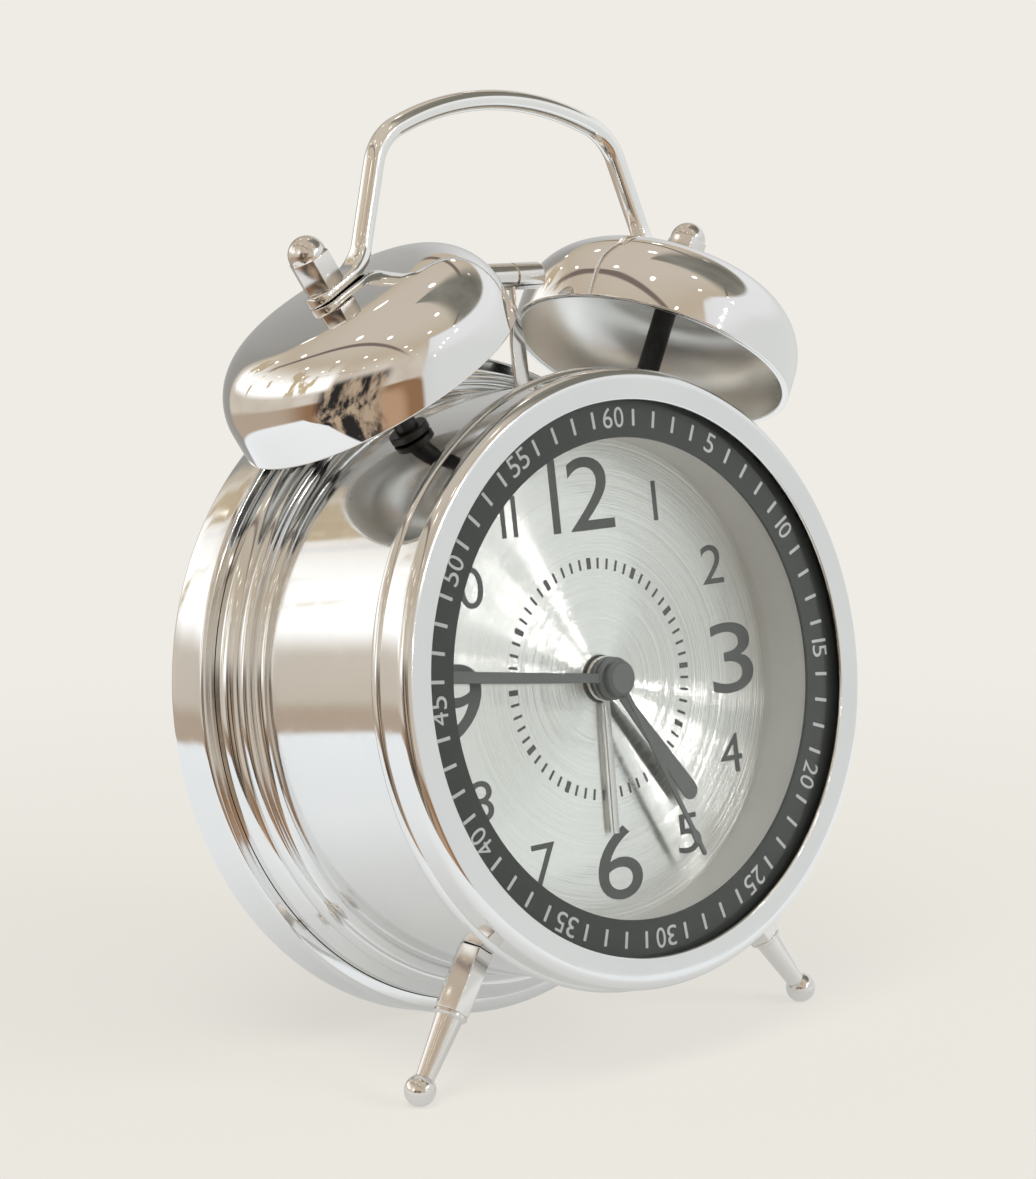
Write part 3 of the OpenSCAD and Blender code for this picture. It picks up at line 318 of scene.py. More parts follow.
def spun_dial():
    """Fine circular turning marks, which draw a lamp out into a ray from the middle.

    Most of the marks lean every way, and the deeper cuts have two even flanks.
    """
    paint = material("dial_metal")
    arm = paint.vector("SUBTRACT", paint.place(), CENTRE)
    depth = paint.scaled(DEPTH, paint.vector("DOT_PRODUCT", arm, DEPTH, output=1))
    across = paint.vector("SUBTRACT", arm, depth)
    radius = paint.vector("LENGTH", across, output=1)
    grooves = paint.waver(radius * 22000)
    cut = paint.waver(radius * 13000 + 40).step(0.52, 0.56)
    broad = paint.waver(radius * 900)
    flank = (grooves.step(0.47, 0.53) - 0.5) * (broad * 0.2 + 0.55)
    slope = (grooves - 0.5) * 1.9 * (1 - cut) + flank * cut
    lean = paint.scaled(paint.vector("NORMALIZE", across), slope)
    surface = paint.add("ShaderNodeNewGeometry", output="Normal")
    return paint.finish(
        base_color=paint.mix(broad, (0.92, 0.92, 0.89), (0.96, 0.96, 0.93)),
        metallic=1.0,
        roughness=broad * 0.02 + 0.12,
        normal=paint.vector("NORMALIZE", paint.vector("ADD", surface, lean)),
    )


def clear_lens():
    """Thin clear crystal: see-through face on, with a faint reflection that grows at a slant."""
    paint = material("lens_glass")
    edge = paint.add("ShaderNodeFresnel", {}, {"IOR": 1.3})
    clear = paint.add("ShaderNodeBsdfTransparent", {}, {"Color": (0.985, 0.99, 0.985, 1)})
    gloss = paint.add(
        "ShaderNodeBsdfPrincipled", {}, {"Base Color": (1, 1, 1, 1), "Metallic": 1.0, "Roughness": 0.02}
    )
    both = paint.add("ShaderNodeMixShader", {}, {0: edge * 0.45, 1: clear, 2: gloss})
    paint.add("ShaderNodeOutputMaterial", {}, {"Surface": both})
    return paint.owner


def winding():
    """Enamelled copper wire laid side by side."""
    paint = material("copper_wire")
    turns = paint.add(
        "ShaderNodeTexWave", {"bands_direction": "Z"}, {"Vector": paint.place(), "Scale": 900.0}
    )
    return paint.finish(
        base_color=paint.mix(turns, (0.30, 0.12, 0.06), (0.72, 0.36, 0.2)),
        metallic=0.8,
        roughness=turns * 0.2 + 0.25,
        normal=paint.bump(turns, 0.05),
    )


def circuit():
    """Solder mask with paler tracks."""
    paint = material("board_green")
    cells = paint.add(
        "ShaderNodeTexVoronoi", {"feature": "DISTANCE_TO_EDGE"},
        {"Vector": paint.place(), "Scale": 700.0},
    )
    tracks = cells.step(0.05, 0.12)
    return paint.finish(
        base_color=paint.mix(tracks, (0.16, 0.36, 0.2), (0.04, 0.16, 0.08)),
        roughness=tracks * 0.2 + 0.3,
        normal=paint.bump(tracks, 0.02),
    )


FINISHES = {
    "case_chrome": plated("case_chrome", (0.88, 0.88, 0.87), (0.8, 0.8, 0.8), 0.07, 0.06, 0.02),
    "bell_chrome": plated("bell_chrome", (0.9, 0.89, 0.88), (0.83, 0.82, 0.81), 0.02, 0.03, 0.006, True),
    "handle_chrome": plated("handle_chrome", (0.93, 0.92, 0.9), (0.87, 0.86, 0.84), 0.06, 0.06, 0.02),
    "nickel_plate": plated("nickel_plate", (0.84, 0.81, 0.78), (0.74, 0.71, 0.68), 0.13, 0.06, 0.01),
    "dark_steel": drawn_metal("dark_steel", (0.09, 0.09, 0.09), (0.05, 0.05, 0.05), 0.3, (1, 1, 0.1)),
    "zinc_steel": drawn_metal("zinc_steel", (0.62, 0.62, 0.63), (0.48, 0.48, 0.5), 0.25, (1, 0.15, 1)),
    "lens_glass": clear_lens(),
    "ring_black": enamel("ring_black", (0.024, 0.027, 0.025), (0.031, 0.034, 0.032), 0.5),
    "spacer_silver": enamel("spacer_silver", (0.72, 0.72, 0.71), (0.62, 0.62, 0.61), 0.35),
    "dial_metal": spun_dial(),
    "white_plastic": cast_plastic("white_plastic", (0.8, 0.8, 0.78), (0.72, 0.72, 0.7), 0.4, 0.01),
    "black_plastic": cast_plastic("black_plastic", (0.02, 0.02, 0.021), (0.03, 0.03, 0.031), 0.42, 0.03),
    "knob_black": cast_plastic("knob_black", (0.016, 0.016, 0.017), (0.024, 0.024, 0.025), 0.24, 0.008),
    "movement_plastic": cast_plastic("movement_plastic", (0.03, 0.03, 0.03), (0.04, 0.04, 0.04), 0.4, 0.01),
    "wheel_brass": drawn_metal("wheel_brass", (0.8, 0.62, 0.3), (0.66, 0.48, 0.2), 0.2, (1, 0.2, 1)),
    "copper_wire": winding(),
    "board_green": circuit(),
    "hand_dark": enamel("hand_dark", (0.115, 0.125, 0.123), (0.14, 0.15, 0.148), 0.32),
    "hand_silver": drawn_metal("hand_silver", (0.8, 0.79, 0.77), (0.68, 0.67, 0.65), 0.2, (1, 1, 0.1)),
    "cell_wrap": enamel("cell_wrap", (0.05, 0.2, 0.08), (0.07, 0.24, 0.1), 0.25),
    "contact_nickel": drawn_metal("contact_nickel", (0.74, 0.72, 0.68), (0.6, 0.58, 0.55), 0.2, (1, 1, 0.2)),
    "slider_white": cast_plastic("slider_white", (0.78, 0.78, 0.76), (0.7, 0.7, 0.68), 0.3, 0.006),
}
DIAL_INK = enamel("dial_ink", (0.075, 0.08, 0.078), (0.095, 0.1, 0.098), 0.45)
RING_INK = enamel("ring_ink", (0.6, 0.62, 0.62), (0.52, 0.54, 0.54), 0.5)

for part in frame["record"]["subparts"]:
    skin = frame["nodes"][part["node"]].data
    skin.materials.clear()
    skin.materials.append(FINISHES[part["material_slot"]])


# ---- mesh tools ---------------------------------------------------------------------------------
def arc(centre, radius, start, end, steps=14):
    """Points along an arc of (radius, height) between two angles in degrees."""
    turn = [math.radians(start + (end - start) * i / steps) for i in range(steps + 1)]
    return [(centre[0] + radius * math.cos(a), centre[1] + radius * math.sin(a)) for a in turn]


def lathe(outline, closed=True, steps=192):
    """Turns an outline of (radius, height) points about the Z axis."""
    shape = bmesh.new()
    points = [shape.verts.new((r, 0, h)) for r, h in outline]
    following = points[1:] + points[:1] if closed else points[1:]
    edges = [shape.edges.new(pair) for pair in zip(points, following)]
    bmesh.ops.spin(
        shape, geom=points + edges, cent=(0, 0, 0), axis=(0, 0, 1), angle=2 * math.pi,
        steps=steps, use_merge=True,
    )
    bmesh.ops.remove_doubles(shape, verts=shape.verts, dist=0.0005)
    return shape


def loft(rings, caps=True):
    """Joins rings of points, each a list of the same length, into one skin."""
    shape = bmesh.new()
    loops = []
    for ring in rings:
        points = [shape.verts.new(p) for p in ring]
        loops.append([shape.edges.new(pair) for pair in zip(points, points[1:] + points[:1])])
    for low, high in zip(loops, loops[1:]):
        bmesh.ops.bridge_loops(shape, edges=low + high)
    if caps:
        for end in (loops[0], loops[-1]):
            bmesh.ops.contextual_create(shape, geom=end)
    return shape


def hexagon(across_flats, length, soft, taper=0):
    """A hexagonal bar standing on the origin, with softened edges and perhaps a tapered end."""
    shape = bmesh.new()
    corner_r = across_flats / 2 / math.cos(math.pi / 6)
    bmesh.ops.create_cone(
        shape, cap_ends=True, segments=6, radius1=corner_r, radius2=corner_r, depth=length,
        matrix=spot(0, 0, length / 2) @ Matrix.Rotation(math.pi / 6, 4, "Z"),
    )
    if taper:
        top = [face for face in shape.faces if face.normal.z > 0.9]
        grown = bmesh.ops.extrude_face_region(shape, geom=top)["geom"]
        bmesh.ops.delete(shape, geom=top, context="FACES")
        for vertex in grown:
            if isinstance(vertex, bmesh.types.BMVert):
                vertex.co = Vector((vertex.co.x * 0.88, vertex.co.y * 0.88, length + taper))
    bmesh.ops.bevel(
        shape, geom=list(shape.edges), offset=soft, segments=3, profile=0.5,
        affect="EDGES", material=-1,
    )
    return shape


def joined(*parts):
    """One mesh of several, each given with its place."""
    whole = bmesh.new()
    for shape, place in parts:
        shape.transform(place)
        mesh = bpy.data.meshes.new("part")
        shape.to_mesh(mesh)
        shape.free()
        whole.from_mesh(mesh)
        bpy.data.meshes.remove(mesh)
    return whole


def piece(name, shape, slot, *nodes, body="case", place=Matrix(), sharp=32, ink=None):
    """Seats a shape in the row frame as a piece of the clock that stands for CAD nodes."""
    shape.transform(SEAT @ place)
    bmesh.ops.recalc_face_normals(shape, faces=shape.faces)
    mesh = bpy.data.meshes.new(name)
    shape.to_mesh(mesh)
    shape.free()
    mesh.shade_smooth()
    mesh.set_sharp_from_angle(angle=math.radians(sharp))
    mesh.materials.append(ink or FINISHES[slot])
    made = bpy.data.objects.new(name, mesh)
    scene.collection.objects.link(made)
    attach(made, body)
    if nodes:
        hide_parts(*nodes)
    return made


BROAD_FACE = 3e-5


def softened(node, width, sharp=32):
    """A merged copy of a CAD node with its edges rounded and its broad faces flat."""
    source = frame["nodes"][node]
    body = source["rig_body"]
    shape = bmesh.new()
    shape.from_mesh(source.data)
    shape.transform(SEAT.inverted())
    bmesh.ops.remove_doubles(shape, verts=shape.verts, dist=0.002)
    bmesh.ops.dissolve_limit(
        shape, angle_limit=math.radians(0.4), verts=shape.verts, edges=shape.edges, delimit={"NORMAL"}
    )
    edges = [
        e for e in shape.edges
        if len(e.link_faces) == 2 and e.calc_face_angle() > math.radians(sharp)
    ]
    bmesh.ops.bevel(
        shape, geom=edges, offset=width, segments=2, profile=0.5, affect="EDGES",
        material=-1, clamp_overlap=True,
    )
    slot = next(p["material_slot"] for p in frame["record"]["subparts"] if p["node"] == node)
    made = piece(node + "_soft", shape, slot, node, body=body)
    for face in made.data.polygons:
        face.use_smooth = face.area < BROAD_FACE
    return made


# ---- case ---------------------------------------------------------------------------------------
def meeting(centre_a, radius_a, centre_b, radius_b):
    """The outer of the two points where two circles of an outline cross."""
    a, b = Vector(centre_a), Vector(centre_b)
    gap = (b - a).length
    along = (radius_a ** 2 - radius_b ** 2 + gap ** 2) / (2 * gap)
    aside = math.sqrt(radius_a ** 2 - along ** 2)
    line = (b - a) / gap
    return a + line * along + Vector((line.y, -line.x)) * aside


def angle_from(centre, point):
    return math.degrees(math.atan2(point[1] - centre[1], point[0] - centre[0]))


def drum():
    """The spun drum: a plain barrel, then a cove, a bead and a round up to the rear rim."""
    cove = (CASE_R + COVE_R, COVE_Y)
    dip = meeting(BEAD, BEAD_R, ROUND, ROUND_R)
    bead_start = (BEAD[0] - math.sqrt(BEAD_R ** 2 - (BEAD[1] - COVE_Y - COVE_R) ** 2), COVE_Y + COVE_R)

    def side(wall):
        """The outside of the sheet, moved in by a wall."""
        barrel_r = CASE_R - wall
        barrel = [(barrel_r, DRUM_Y0 + (COVE_Y - DRUM_Y0) * i / 12) for i in range(12)]
        return (
            barrel
            + arc(cove, COVE_R + wall, 180, 96)
            + arc(BEAD, BEAD_R - wall, angle_from(BEAD, bead_start), angle_from(BEAD, dip))
            + arc(ROUND, ROUND_R - wall, angle_from(ROUND, dip), 0, 20)
            + [(ROUND[0] + ROUND_R - wall, RIM_Y + CASE_WALL)]
        )

    return lathe(side(0) + side(0.9 * CASE_WALL)[::-1], steps=256)


def cut_slot(barrel):
    """Cuts the hammer's slot through the top of the drum."""
    shape = bmesh.new()
    bmesh.ops.create_cube(shape, size=1)
    shape.transform(SEAT @ spot(0, BELL_Y, CASE_R) @ Matrix.Diagonal((6.3, 3.4, 8, 1)))
    mesh = bpy.data.meshes.new("slot")
    shape.to_mesh(mesh)
    shape.free()
    cutter = bpy.data.objects.new("slot", mesh)
    scene.collection.objects.link(cutter)
    change = barrel.modifiers.new("slot", "BOOLEAN")
    change.operation = "DIFFERENCE"
    change.object = cutter
    change.solver = "EXACT"
    bpy.context.view_layer.update()
    cut = bpy.data.meshes.new_from_object(barrel.evaluated_get(bpy.context.evaluated_depsgraph_get()))
    barrel.modifiers.clear()
    barrel.data = cut
    bpy.data.objects.remove(cutter)


def rear_band():
    """The flat rear band, rounded at both edges."""
    inner = ROUND[0] + ROUND_R + 0.1
    hollow = RIM_R - CASE_WALL
    return lathe(
        [(inner, RIM_Y)]
        + arc((RIM_R - RIM_CORNER, RIM_Y + RIM_CORNER), RIM_CORNER, -90, 0, 8)
        + [(RIM_R, RIM_Y + 3), (RIM_R, RIM_Y + 6)]
        + arc((RIM_R - RIM_EDGE, REAR_Y - RIM_EDGE), RIM_EDGE, 0, 90, 8)
        + [(hollow, REAR_Y), (hollow, RIM_Y + CASE_WALL), (inner, RIM_Y + CASE_WALL)],
        steps=256,
    )


def bezel():
    """The bezel: a flat face band, a round to its side, and a bead near its rear edge."""
    lip = 0.35
    lens_y = BEZEL_Y + 2 * lip
    bead = (BEZEL_R - 0.6, SKIRT_Y - 1.4)
    return lathe(
        arc((BEZEL_OPEN_R + lip, BEZEL_Y + lip), lip, 90, 270, 8)
        + [(46, BEZEL_Y), (47, BEZEL_Y)]
        + arc((BEZEL_R - BEZEL_ROUND, BEZEL_Y + BEZEL_ROUND), BEZEL_ROUND, -90, 0, 14)
        + arc(bead, 1.2, -60, 60, 14)
        + [(BEZEL_R, SKIRT_Y), (CASE_R + 0.1, SKIRT_Y), (CASE_R + 0.1, lens_y)],
        steps=256,
    )


barrel = piece("drum", drum(), "case_chrome", "case_drum", place=TO_BACK)
cut_slot(barrel)
piece("rear_band", rear_band(), "case_chrome", "rear_rim", place=TO_BACK)
piece("bezel", bezel(), "case_chrome", "front_bezel", place=TO_BACK)


# ---- bells --------------------------------------------------------------------------------------
BELL_REACH = BELL_R - BELL_ROUND
BELL_RISE = BELL_ROUND + BELL_CROWN_RISE
BELL_LIP = BELL_H - BELL_RISE
CROWN = (BELL_REACH ** 2 + BELL_RISE ** 2 - BELL_ROUND ** 2) / (2 * BELL_CROWN_RISE)
CROWN_AT = (0, BELL_H - CROWN)
SHOULDER_AT = (BELL_REACH, BELL_LIP)


def bell():
    """A pressed bell: straight lip, round shoulder and shallow crown, bored at the top."""
    turn = angle_from(CROWN_AT, SHOULDER_AT)
    bore = 1.6

    def side(wall):
        top = 90 - math.degrees(math.asin(bore / (CROWN - wall)))
        return (
            arc(SHOULDER_AT, BELL_ROUND - wall, 0, turn, 22)
            + arc(CROWN_AT, CROWN - wall, turn, top, 22)[1:]
        )

    soft = 0.3
    edge = arc((BELL_R - soft, soft), soft, -90, 0, 4)
    inner_edge = arc((BELL_R - BELL_T + soft, soft), soft, 180, 270, 4)
    return lathe(inner_edge + edge + side(0) + side(BELL_T)[::-1], steps=256)


def post():
    """A bell's post with a collar at each end and its threaded top."""
    foot_r = CASE_R + 0.1
    top = BELL_TOP - BELL_T - 0.16
    wide = POST_D / 2 + 1.5
    collar = POST_D / 2 + 1.2
    thin = POST_D / 2
    return lathe(
        [(0, 44), (thin, 44), (thin, foot_r), (wide - 0.2, foot_r), (wide, foot_r + 0.2),
         (wide, foot_r + 1.2), (wide - 0.2, foot_r + 1.4), (thin, foot_r + 1.4),
         (thin, top - 1.6), (collar - 0.2, top - 1.6), (collar, top - 1.4), (collar, top),
         (1.5, top), (1.5, BELL_TOP + LUG_T + 4), (0, BELL_TOP + LUG_T + 4)],
        closed=False, steps=64,
    )


def cap_nut():
    """A tall hexagonal nut with a domed top."""
    dome_r = NUT_AF / 2 - 0.05
    hex_h = NUT_H - NUT_AF / 2
    dome = lathe([(0, 1)] + arc((0, hex_h), dome_r, -15, 90, 20), closed=False, steps=64)
    taper = 0.5
    return joined((hexagon(NUT_AF, hex_h - taper, 0.12, taper), Matrix()), (dome, Matrix()))


def mark_inside(shell, perch):
    """Notes on each point of a bell whether it lies on the inner side of its wall."""
    local = (SEAT @ perch).inverted()
    turn = math.radians(angle_from(CROWN_AT, SHOULDER_AT))
    inside = shell.data.attributes.new("inside", "FLOAT", "POINT")
    for index, vertex in enumerate(shell.data.vertices):
        p = local @ vertex.co
        r = math.hypot(p.x, p.y)
        if p.z < BELL_LIP:
            depth = BELL_R - r
        elif math.atan2(p.z - BELL_LIP, r - BELL_REACH) < turn:
            depth = BELL_ROUND - math.hypot(r - BELL_REACH, p.z - BELL_LIP)
        else:
            depth = CROWN - math.hypot(r, p.z - CROWN_AT[1])
        inside.data[index].value = 1.0 if depth > BELL_T / 2 else 0.0


for side, flip in (("right", Matrix()), ("left", MIRROR)):
    perch = flip @ radial(BELL_ANGLE, BELL_Y) @ spot(0, 0, BELL_PLANE)
    shell = piece(side + "_bell_shell", bell(), "bell_chrome", side + "_bell", place=perch)
    mark_inside(shell, perch)

both = [flip @ radial(BELL_ANGLE, BELL_Y) for flip in (Matrix(), MIRROR)]
piece("posts", joined(*((post(), place) for place in both)), "dark_steel", "bell_posts")
piece(
    "domed_nuts",
    joined(*((cap_nut(), place @ spot(0, 0, BELL_TOP + LUG_T)) for place in both)),
    "nickel_plate", "cap_nuts", sharp=40,
)


# ---- handle -------------------------------------------------------------------------------------
def polar(radius, angle):
    return Vector((radius * math.cos(angle), radius * math.sin(angle)))


def handle_line():
    """Half of the wire's line from its crown to its lug: point, outward angle, flatness, width."""
    down = Vector((math.cos(BELL_ANGLE), -math.sin(BELL_ANGLE)))
    outwards = Vector((math.sin(BELL_ANGLE), math.cos(BELL_ANGLE)))
    leg = Vector((math.sin(LEG_SPLAY), -math.cos(LEG_SPLAY)))
    side = Vector((math.cos(LEG_SPLAY), math.sin(LEG_SPLAY)))
    lug = outwards * (BELL_TOP + LUG_T / 2)
    foot = lug - down * LEG_REACH
    crown_at = Vector((0, HANDLE_Z - CROWN_R))
    corner_line = foot - side * CORNER_R
    reach = corner_line - crown_at
    along = reach.dot(leg)
    run = -along - math.sqrt(along ** 2 - reach.length_squared + (CROWN_R - CORNER_R) ** 2)
    corner_at = corner_line + leg * run
    corner_turn = math.atan2(corner_at.y - crown_at.y, corner_at.x)
    bend = math.pi / 2 - BELL_ANGLE - LEG_SPLAY
    bend_at = foot - leg * (LEG_BEND_R * math.tan(bend / 2)) + side * LEG_BEND_R

    line = []

    def sweep(centre, radius, start, end, steps, flatness=lambda t: 0):
        for i in range(steps):
            t = (i + 1) / steps
            a = start + (end - start) * t
            line.append((centre + polar(radius, a), a, flatness(t)))

    sweep(crown_at, CROWN_R, math.pi / 2, corner_turn, 24)
    sweep(corner_at, CORNER_R, corner_turn, LEG_SPLAY, 20)
    leg_top = corner_at + polar(CORNER_R, LEG_SPLAY)
    leg_end = bend_at - polar(LEG_BEND_R, LEG_SPLAY)
    for i in range(1, 6):
        line.append((leg_top.lerp(leg_end, i / 6), LEG_SPLAY, 0))
    for i in range(15):
        t = i / 14
        a = LEG_SPLAY + bend * t
        line.append((bend_at - polar(LEG_BEND_R, a), a, t))
    tangent = line[-1][0]
    half = LUG_W / 2
    far = lug + down * 1.4
    flat_angle = math.pi / 2 - BELL_ANGLE
    for i in range(1, 7):
        line.append((tangent.lerp(far, i / 6), flat_angle, 1))
    rounded = [
        (far + down * half * math.sin(math.radians(a)), math.cos(math.radians(a)))
        for a in (15, 30, 45, 60, 72, 82, 88)
    ]
    wire = [(p, a, f, 1) for p, a, f in line]
    return wire + [(p, flat_angle, 1, w) for p, w in rounded]


def wire_ring(point, angle, flatness, width, sides=32):
    """The wire's section at one point: round, or pressed flat by its flatness."""
    thick = WIRE_D / 2 + (LUG_T - WIRE_D) / 2 * flatness
    wide = (WIRE_D / 2 + (LUG_W - WIRE_D) / 2 * flatness) * width
    square = 2 / (2 + 3 * flatness)
    ring = []
    for j in range(sides):
        c, s = math.cos(2 * math.pi * j / sides), math.sin(2 * math.pi * j / sides)
        out = thick * math.copysign(abs(c) ** square, c)
        across = wide * math.copysign(abs(s) ** square, s)
        ring.append((point.x + out * math.cos(angle), BELL_Y + across, point.y + out * math.sin(angle)))
    return ring


def handle():
    half = handle_line()
    crown = [(Vector((0, HANDLE_Z)), math.pi / 2, 0, 1)]
    other = [(Vector((-p.x, p.y)), math.pi - a, f, w) for p, a, f, w in reversed(half)]
    return loft([wire_ring(*station) for station in other + crown + half])


piece("handle_wire", handle(), "handle_chrome", "handle", sharp=50)


# ---- striker ------------------------------------------------------------------------------------
def hammer_cylinder():
    """The hammer's head: a short rod with rounded ends and a groove round its middle."""
    r, half, soft, groove = HEAD_D / 2, HEAD_L / 2, 0.45, 0.28
    right = [(r - groove, groove), (r, groove)] + arc((r - soft, half - soft), soft, 0, 90, 6) + [(0, half)]
    left = [(radius, -height) for radius, height in reversed(right)]
    return lathe(left + right, closed=False, steps=96)


def arm_ring(z, turn):
    """The arm strip's section at a height, with small corners."""
    soft = 0.15
    ring = []
    for sx, sy in ((1, 1), (-1, 1), (-1, -1), (1, -1)):
        corner = Vector((sx * (ARM_W / 2 - soft), sy * (ARM_T / 2 - soft)))
        start = math.atan2(sy, sx) - math.pi / 4
        for k in range(4):
            p = corner + polar(soft, start + k * math.pi / 6)
            ring.append((p.x * math.cos(turn) - p.y * math.sin(turn),
                         BELL_Y + p.x * math.sin(turn) + p.y * math.cos(turn), z))
    return ring


def arm():
    """The arm: a strip that faces the front at its foot and twists towards the head."""
    low, high = CASE_R + 7, HEAD_Z - HEAD_D / 2 - 1.5
    rings = [arm_ring(z, 0) for z in (PIVOT_Z - 7, PIVOT_Z, CASE_R, low)]
    steps = 24
    for i in range(1, steps + 1):
        t = i / steps
        rings.append(arm_ring(low + (high - low) * t, ARM_TWIST * t))
    rings.append(arm_ring(HEAD_Z, ARM_TWIST))
    return loft(rings)


piece(
    "hammer_rod", hammer_cylinder(), "nickel_plate", "hammer_head", body="hammer",
    place=spot(0, BELL_Y, HEAD_Z) @ Matrix.Rotation(math.pi / 2, 4, "Y"), sharp=50,
)
piece("hammer_strip", arm(), "nickel_plate", "hammer_arm", body="hammer", sharp=50)


# ---- pieces that keep their CAD shape, with rounded edges ---------------------------------------
for node, width in (
    ("hour_hand", 0.08), ("minute_hand", 0.08), ("alarm_hand", 0.08), ("second_hand", 0.08),
    ("time_knob", 0.18), ("alarm_knob", 0.18), ("case_screws", 0.12), ("battery_door", 0.25),
    ("switch_slider", 0.3), ("rear_cover", 0.25),
):
    softened(node, width)


# ---- feet ---------------------------------------------------------------------------------------
def foot():
    """A foot: hexagonal shank, collar, taper and ball."""
    hex_end = CASE_R + 0.05 + FOOT_HEX_L
    collar_r = FOOT_AF / 2 + 0.15
    neck = 1.55
    ball_r = FOOT_BALL_D / 2
    drop = math.sqrt(ball_r ** 2 - neck ** 2)
    ball_from = math.degrees(math.asin(-drop / ball_r))
    wide, wide_at = 2.2, hex_end + 1.4
    slim, rise = (neck - wide) / 8, (FOOT_BALL_AT - drop - wide_at) / 8
    turned = lathe(
        [(0, hex_end - 1), (collar_r - 0.3, hex_end - 0.1), (collar_r, hex_end + 0.1),
         (collar_r, hex_end + 0.5), (collar_r - 0.25, hex_end + 0.75), (2.25, hex_end + 0.9),
         (wide, wide_at)]
        + [(wide + slim * i, wide_at + rise * i) for i in range(1, 9)]
        + arc((0, FOOT_BALL_AT), ball_r, ball_from, 90, 28),
        closed=False, steps=96,
    )
    shank = hexagon(FOOT_AF, FOOT_HEX_L, 0.2)
    stud_r, stud_end = 1.5, CASE_R + 1
    stud = lathe(
        [(0, CASE_R - 5), (stud_r, CASE_R - 5), (stud_r, stud_end), (0, stud_end)],
        closed=False, steps=32,
    )
    return joined((turned, Matrix()), (shank, spot(0, 0, CASE_R + 0.05)), (stud, Matrix()))


for side, flip in (("right", Matrix()), ("left", MIRROR)):
    perch = flip @ radial(FOOT_ANGLE, FOOT_Y)
    piece(side + "_leg", foot(), "nickel_plate", side + "_foot", place=perch, sharp=40)


# ---- prints -------------------------------------------------------------------------------------
INK_T = 0.03
MARK_R = 42
TRACK_R = 18.9
DIAL_SEAT = spot(0, DIAL_Y, 0) @ TO_FRONT
# height, width, weight, gap and radius of the hours at the quarters, and of those between
BIG_HOUR = (12, 9.8, 1.6, 2.2, 30.3)
SMALL_HOUR = (6.6, 5.0, 0.95, 1.5, 32.2)


def inked(shape):
    """Gives flat print a hair of thickness towards the front."""
    made = bmesh.ops.extrude_face_region(shape, geom=list(shape.faces))
    raised = [g for g in made["geom"] if isinstance(g, bmesh.types.BMVert)]
    bmesh.ops.translate(shape, verts=raised, vec=(0, 0, INK_T))
    return shape


def bar(width, height):
    shape = bmesh.new()
    bmesh.ops.create_grid(shape, x_segments=1, y_segments=1, size=0.5)
    shape.transform(Matrix.Diagonal((width, height, 1, 1)))
    return inked(shape)


def digit(character, height, width, weight):
    """A digit of the dial's plain lettering, centred on the origin; a one is a bare bar."""
    if character == "1":
        return bar(weight, height)
    curve = bpy.data.curves.new("digit", "FONT")
    curve.body = character
    curve.resolution_u = 6
    writing = bpy.data.objects.new("digit", curve)
    scene.collection.objects.link(writing)
    bpy.context.view_layer.update()
    flat = bpy.data.meshes.new_from_object(writing.evaluated_get(bpy.context.evaluated_depsgraph_get()))
    bpy.data.objects.remove(writing)
    shape = bmesh.new()
    shape.from_mesh(flat)
    bpy.data.meshes.remove(flat)
    bmesh.ops.remove_doubles(shape, verts=shape.verts, dist=1e-5)
    xs = [v.co.x for v in shape.verts]
    ys = [v.co.y for v in shape.verts]
    shape.transform(
        Matrix.Diagonal((width / (max(xs) - min(xs)), height / (max(ys) - min(ys)), 1, 1))
        @ spot(-(max(xs) + min(xs)) / 2, -(max(ys) + min(ys)) / 2, 0)
    )
    return inked(shape)


def number(text, height, width, weight, gap):
    """The digits of a number side by side, as (shape, place) pairs."""
    widths = [weight if c == "1" else width for c in text]
    left = -(sum(widths) + gap * (len(text) - 1)) / 2
    made = []
    for character, wide in zip(text, widths):
        made.append((digit(character, height, width, weight), spot(left + wide / 2, 0, 0)))
        left += wide + gap
    return made


def clock_point(radius, minutes):
    """A place on the face at a radius, upright, at a minute of the dial."""
    a = math.radians(minutes * 6)
    return spot(radius * math.sin(a), radius * math.cos(a), 0)


def clock_spoke(radius, minutes):
    """The same with its up direction pointing away from the middle."""
    return Matrix.Rotation(-math.radians(minutes * 6), 4, "Z") @ spot(0, radius, 0)


def minute_marks():
    parts = []
    for minute in range(60):
        if minute % 5:
            parts.append((bar(0.55, 2.7), clock_spoke(MARK_R, minute)))
        else:
            for shape, place in number(str(minute or 60), 3.3, 2.0, 0.5, 0.45):
                parts.append((shape, clock_spoke(MARK_R, minute) @ place))
    return joined(*parts)


def dial_numbers():
    parts = []
    for hour in range(1, 13):
        height, width, weight, gap, radius = SMALL_HOUR if hour % 3 else BIG_HOUR
        nudge = spot(1.3, 1.4, 0) if hour == 10 else Matrix()
        for shape, place in number(str(hour), height, width, weight, gap):
            parts.append((shape, nudge @ clock_point(radius, hour * 5) @ place))
    return joined(*parts)


def alarm_track():
    parts = []
    for minute in range(60):
        wide, long = (0.45, 1.75) if minute % 5 else (0.9, 1.85)
        parts.append((bar(wide, long), clock_spoke(TRACK_R, minute)))
    return joined(*parts)


piece("minute_marks", minute_marks(), "ring_black", place=TO_FRONT, ink=RING_INK)
piece("dial_numbers", dial_numbers(), "dial_metal", place=DIAL_SEAT, ink=DIAL_INK)
piece("alarm_track", alarm_track(), "dial_metal", place=DIAL_SEAT, ink=DIAL_INK)


# ---- floor, light and camera --------------------------------------------------------------------
PALE = (0.863, 0.839, 0.783)
ROOM_R = 3
CAMERA_AT = Vector((-0.3324, -0.3755, 0.1500))


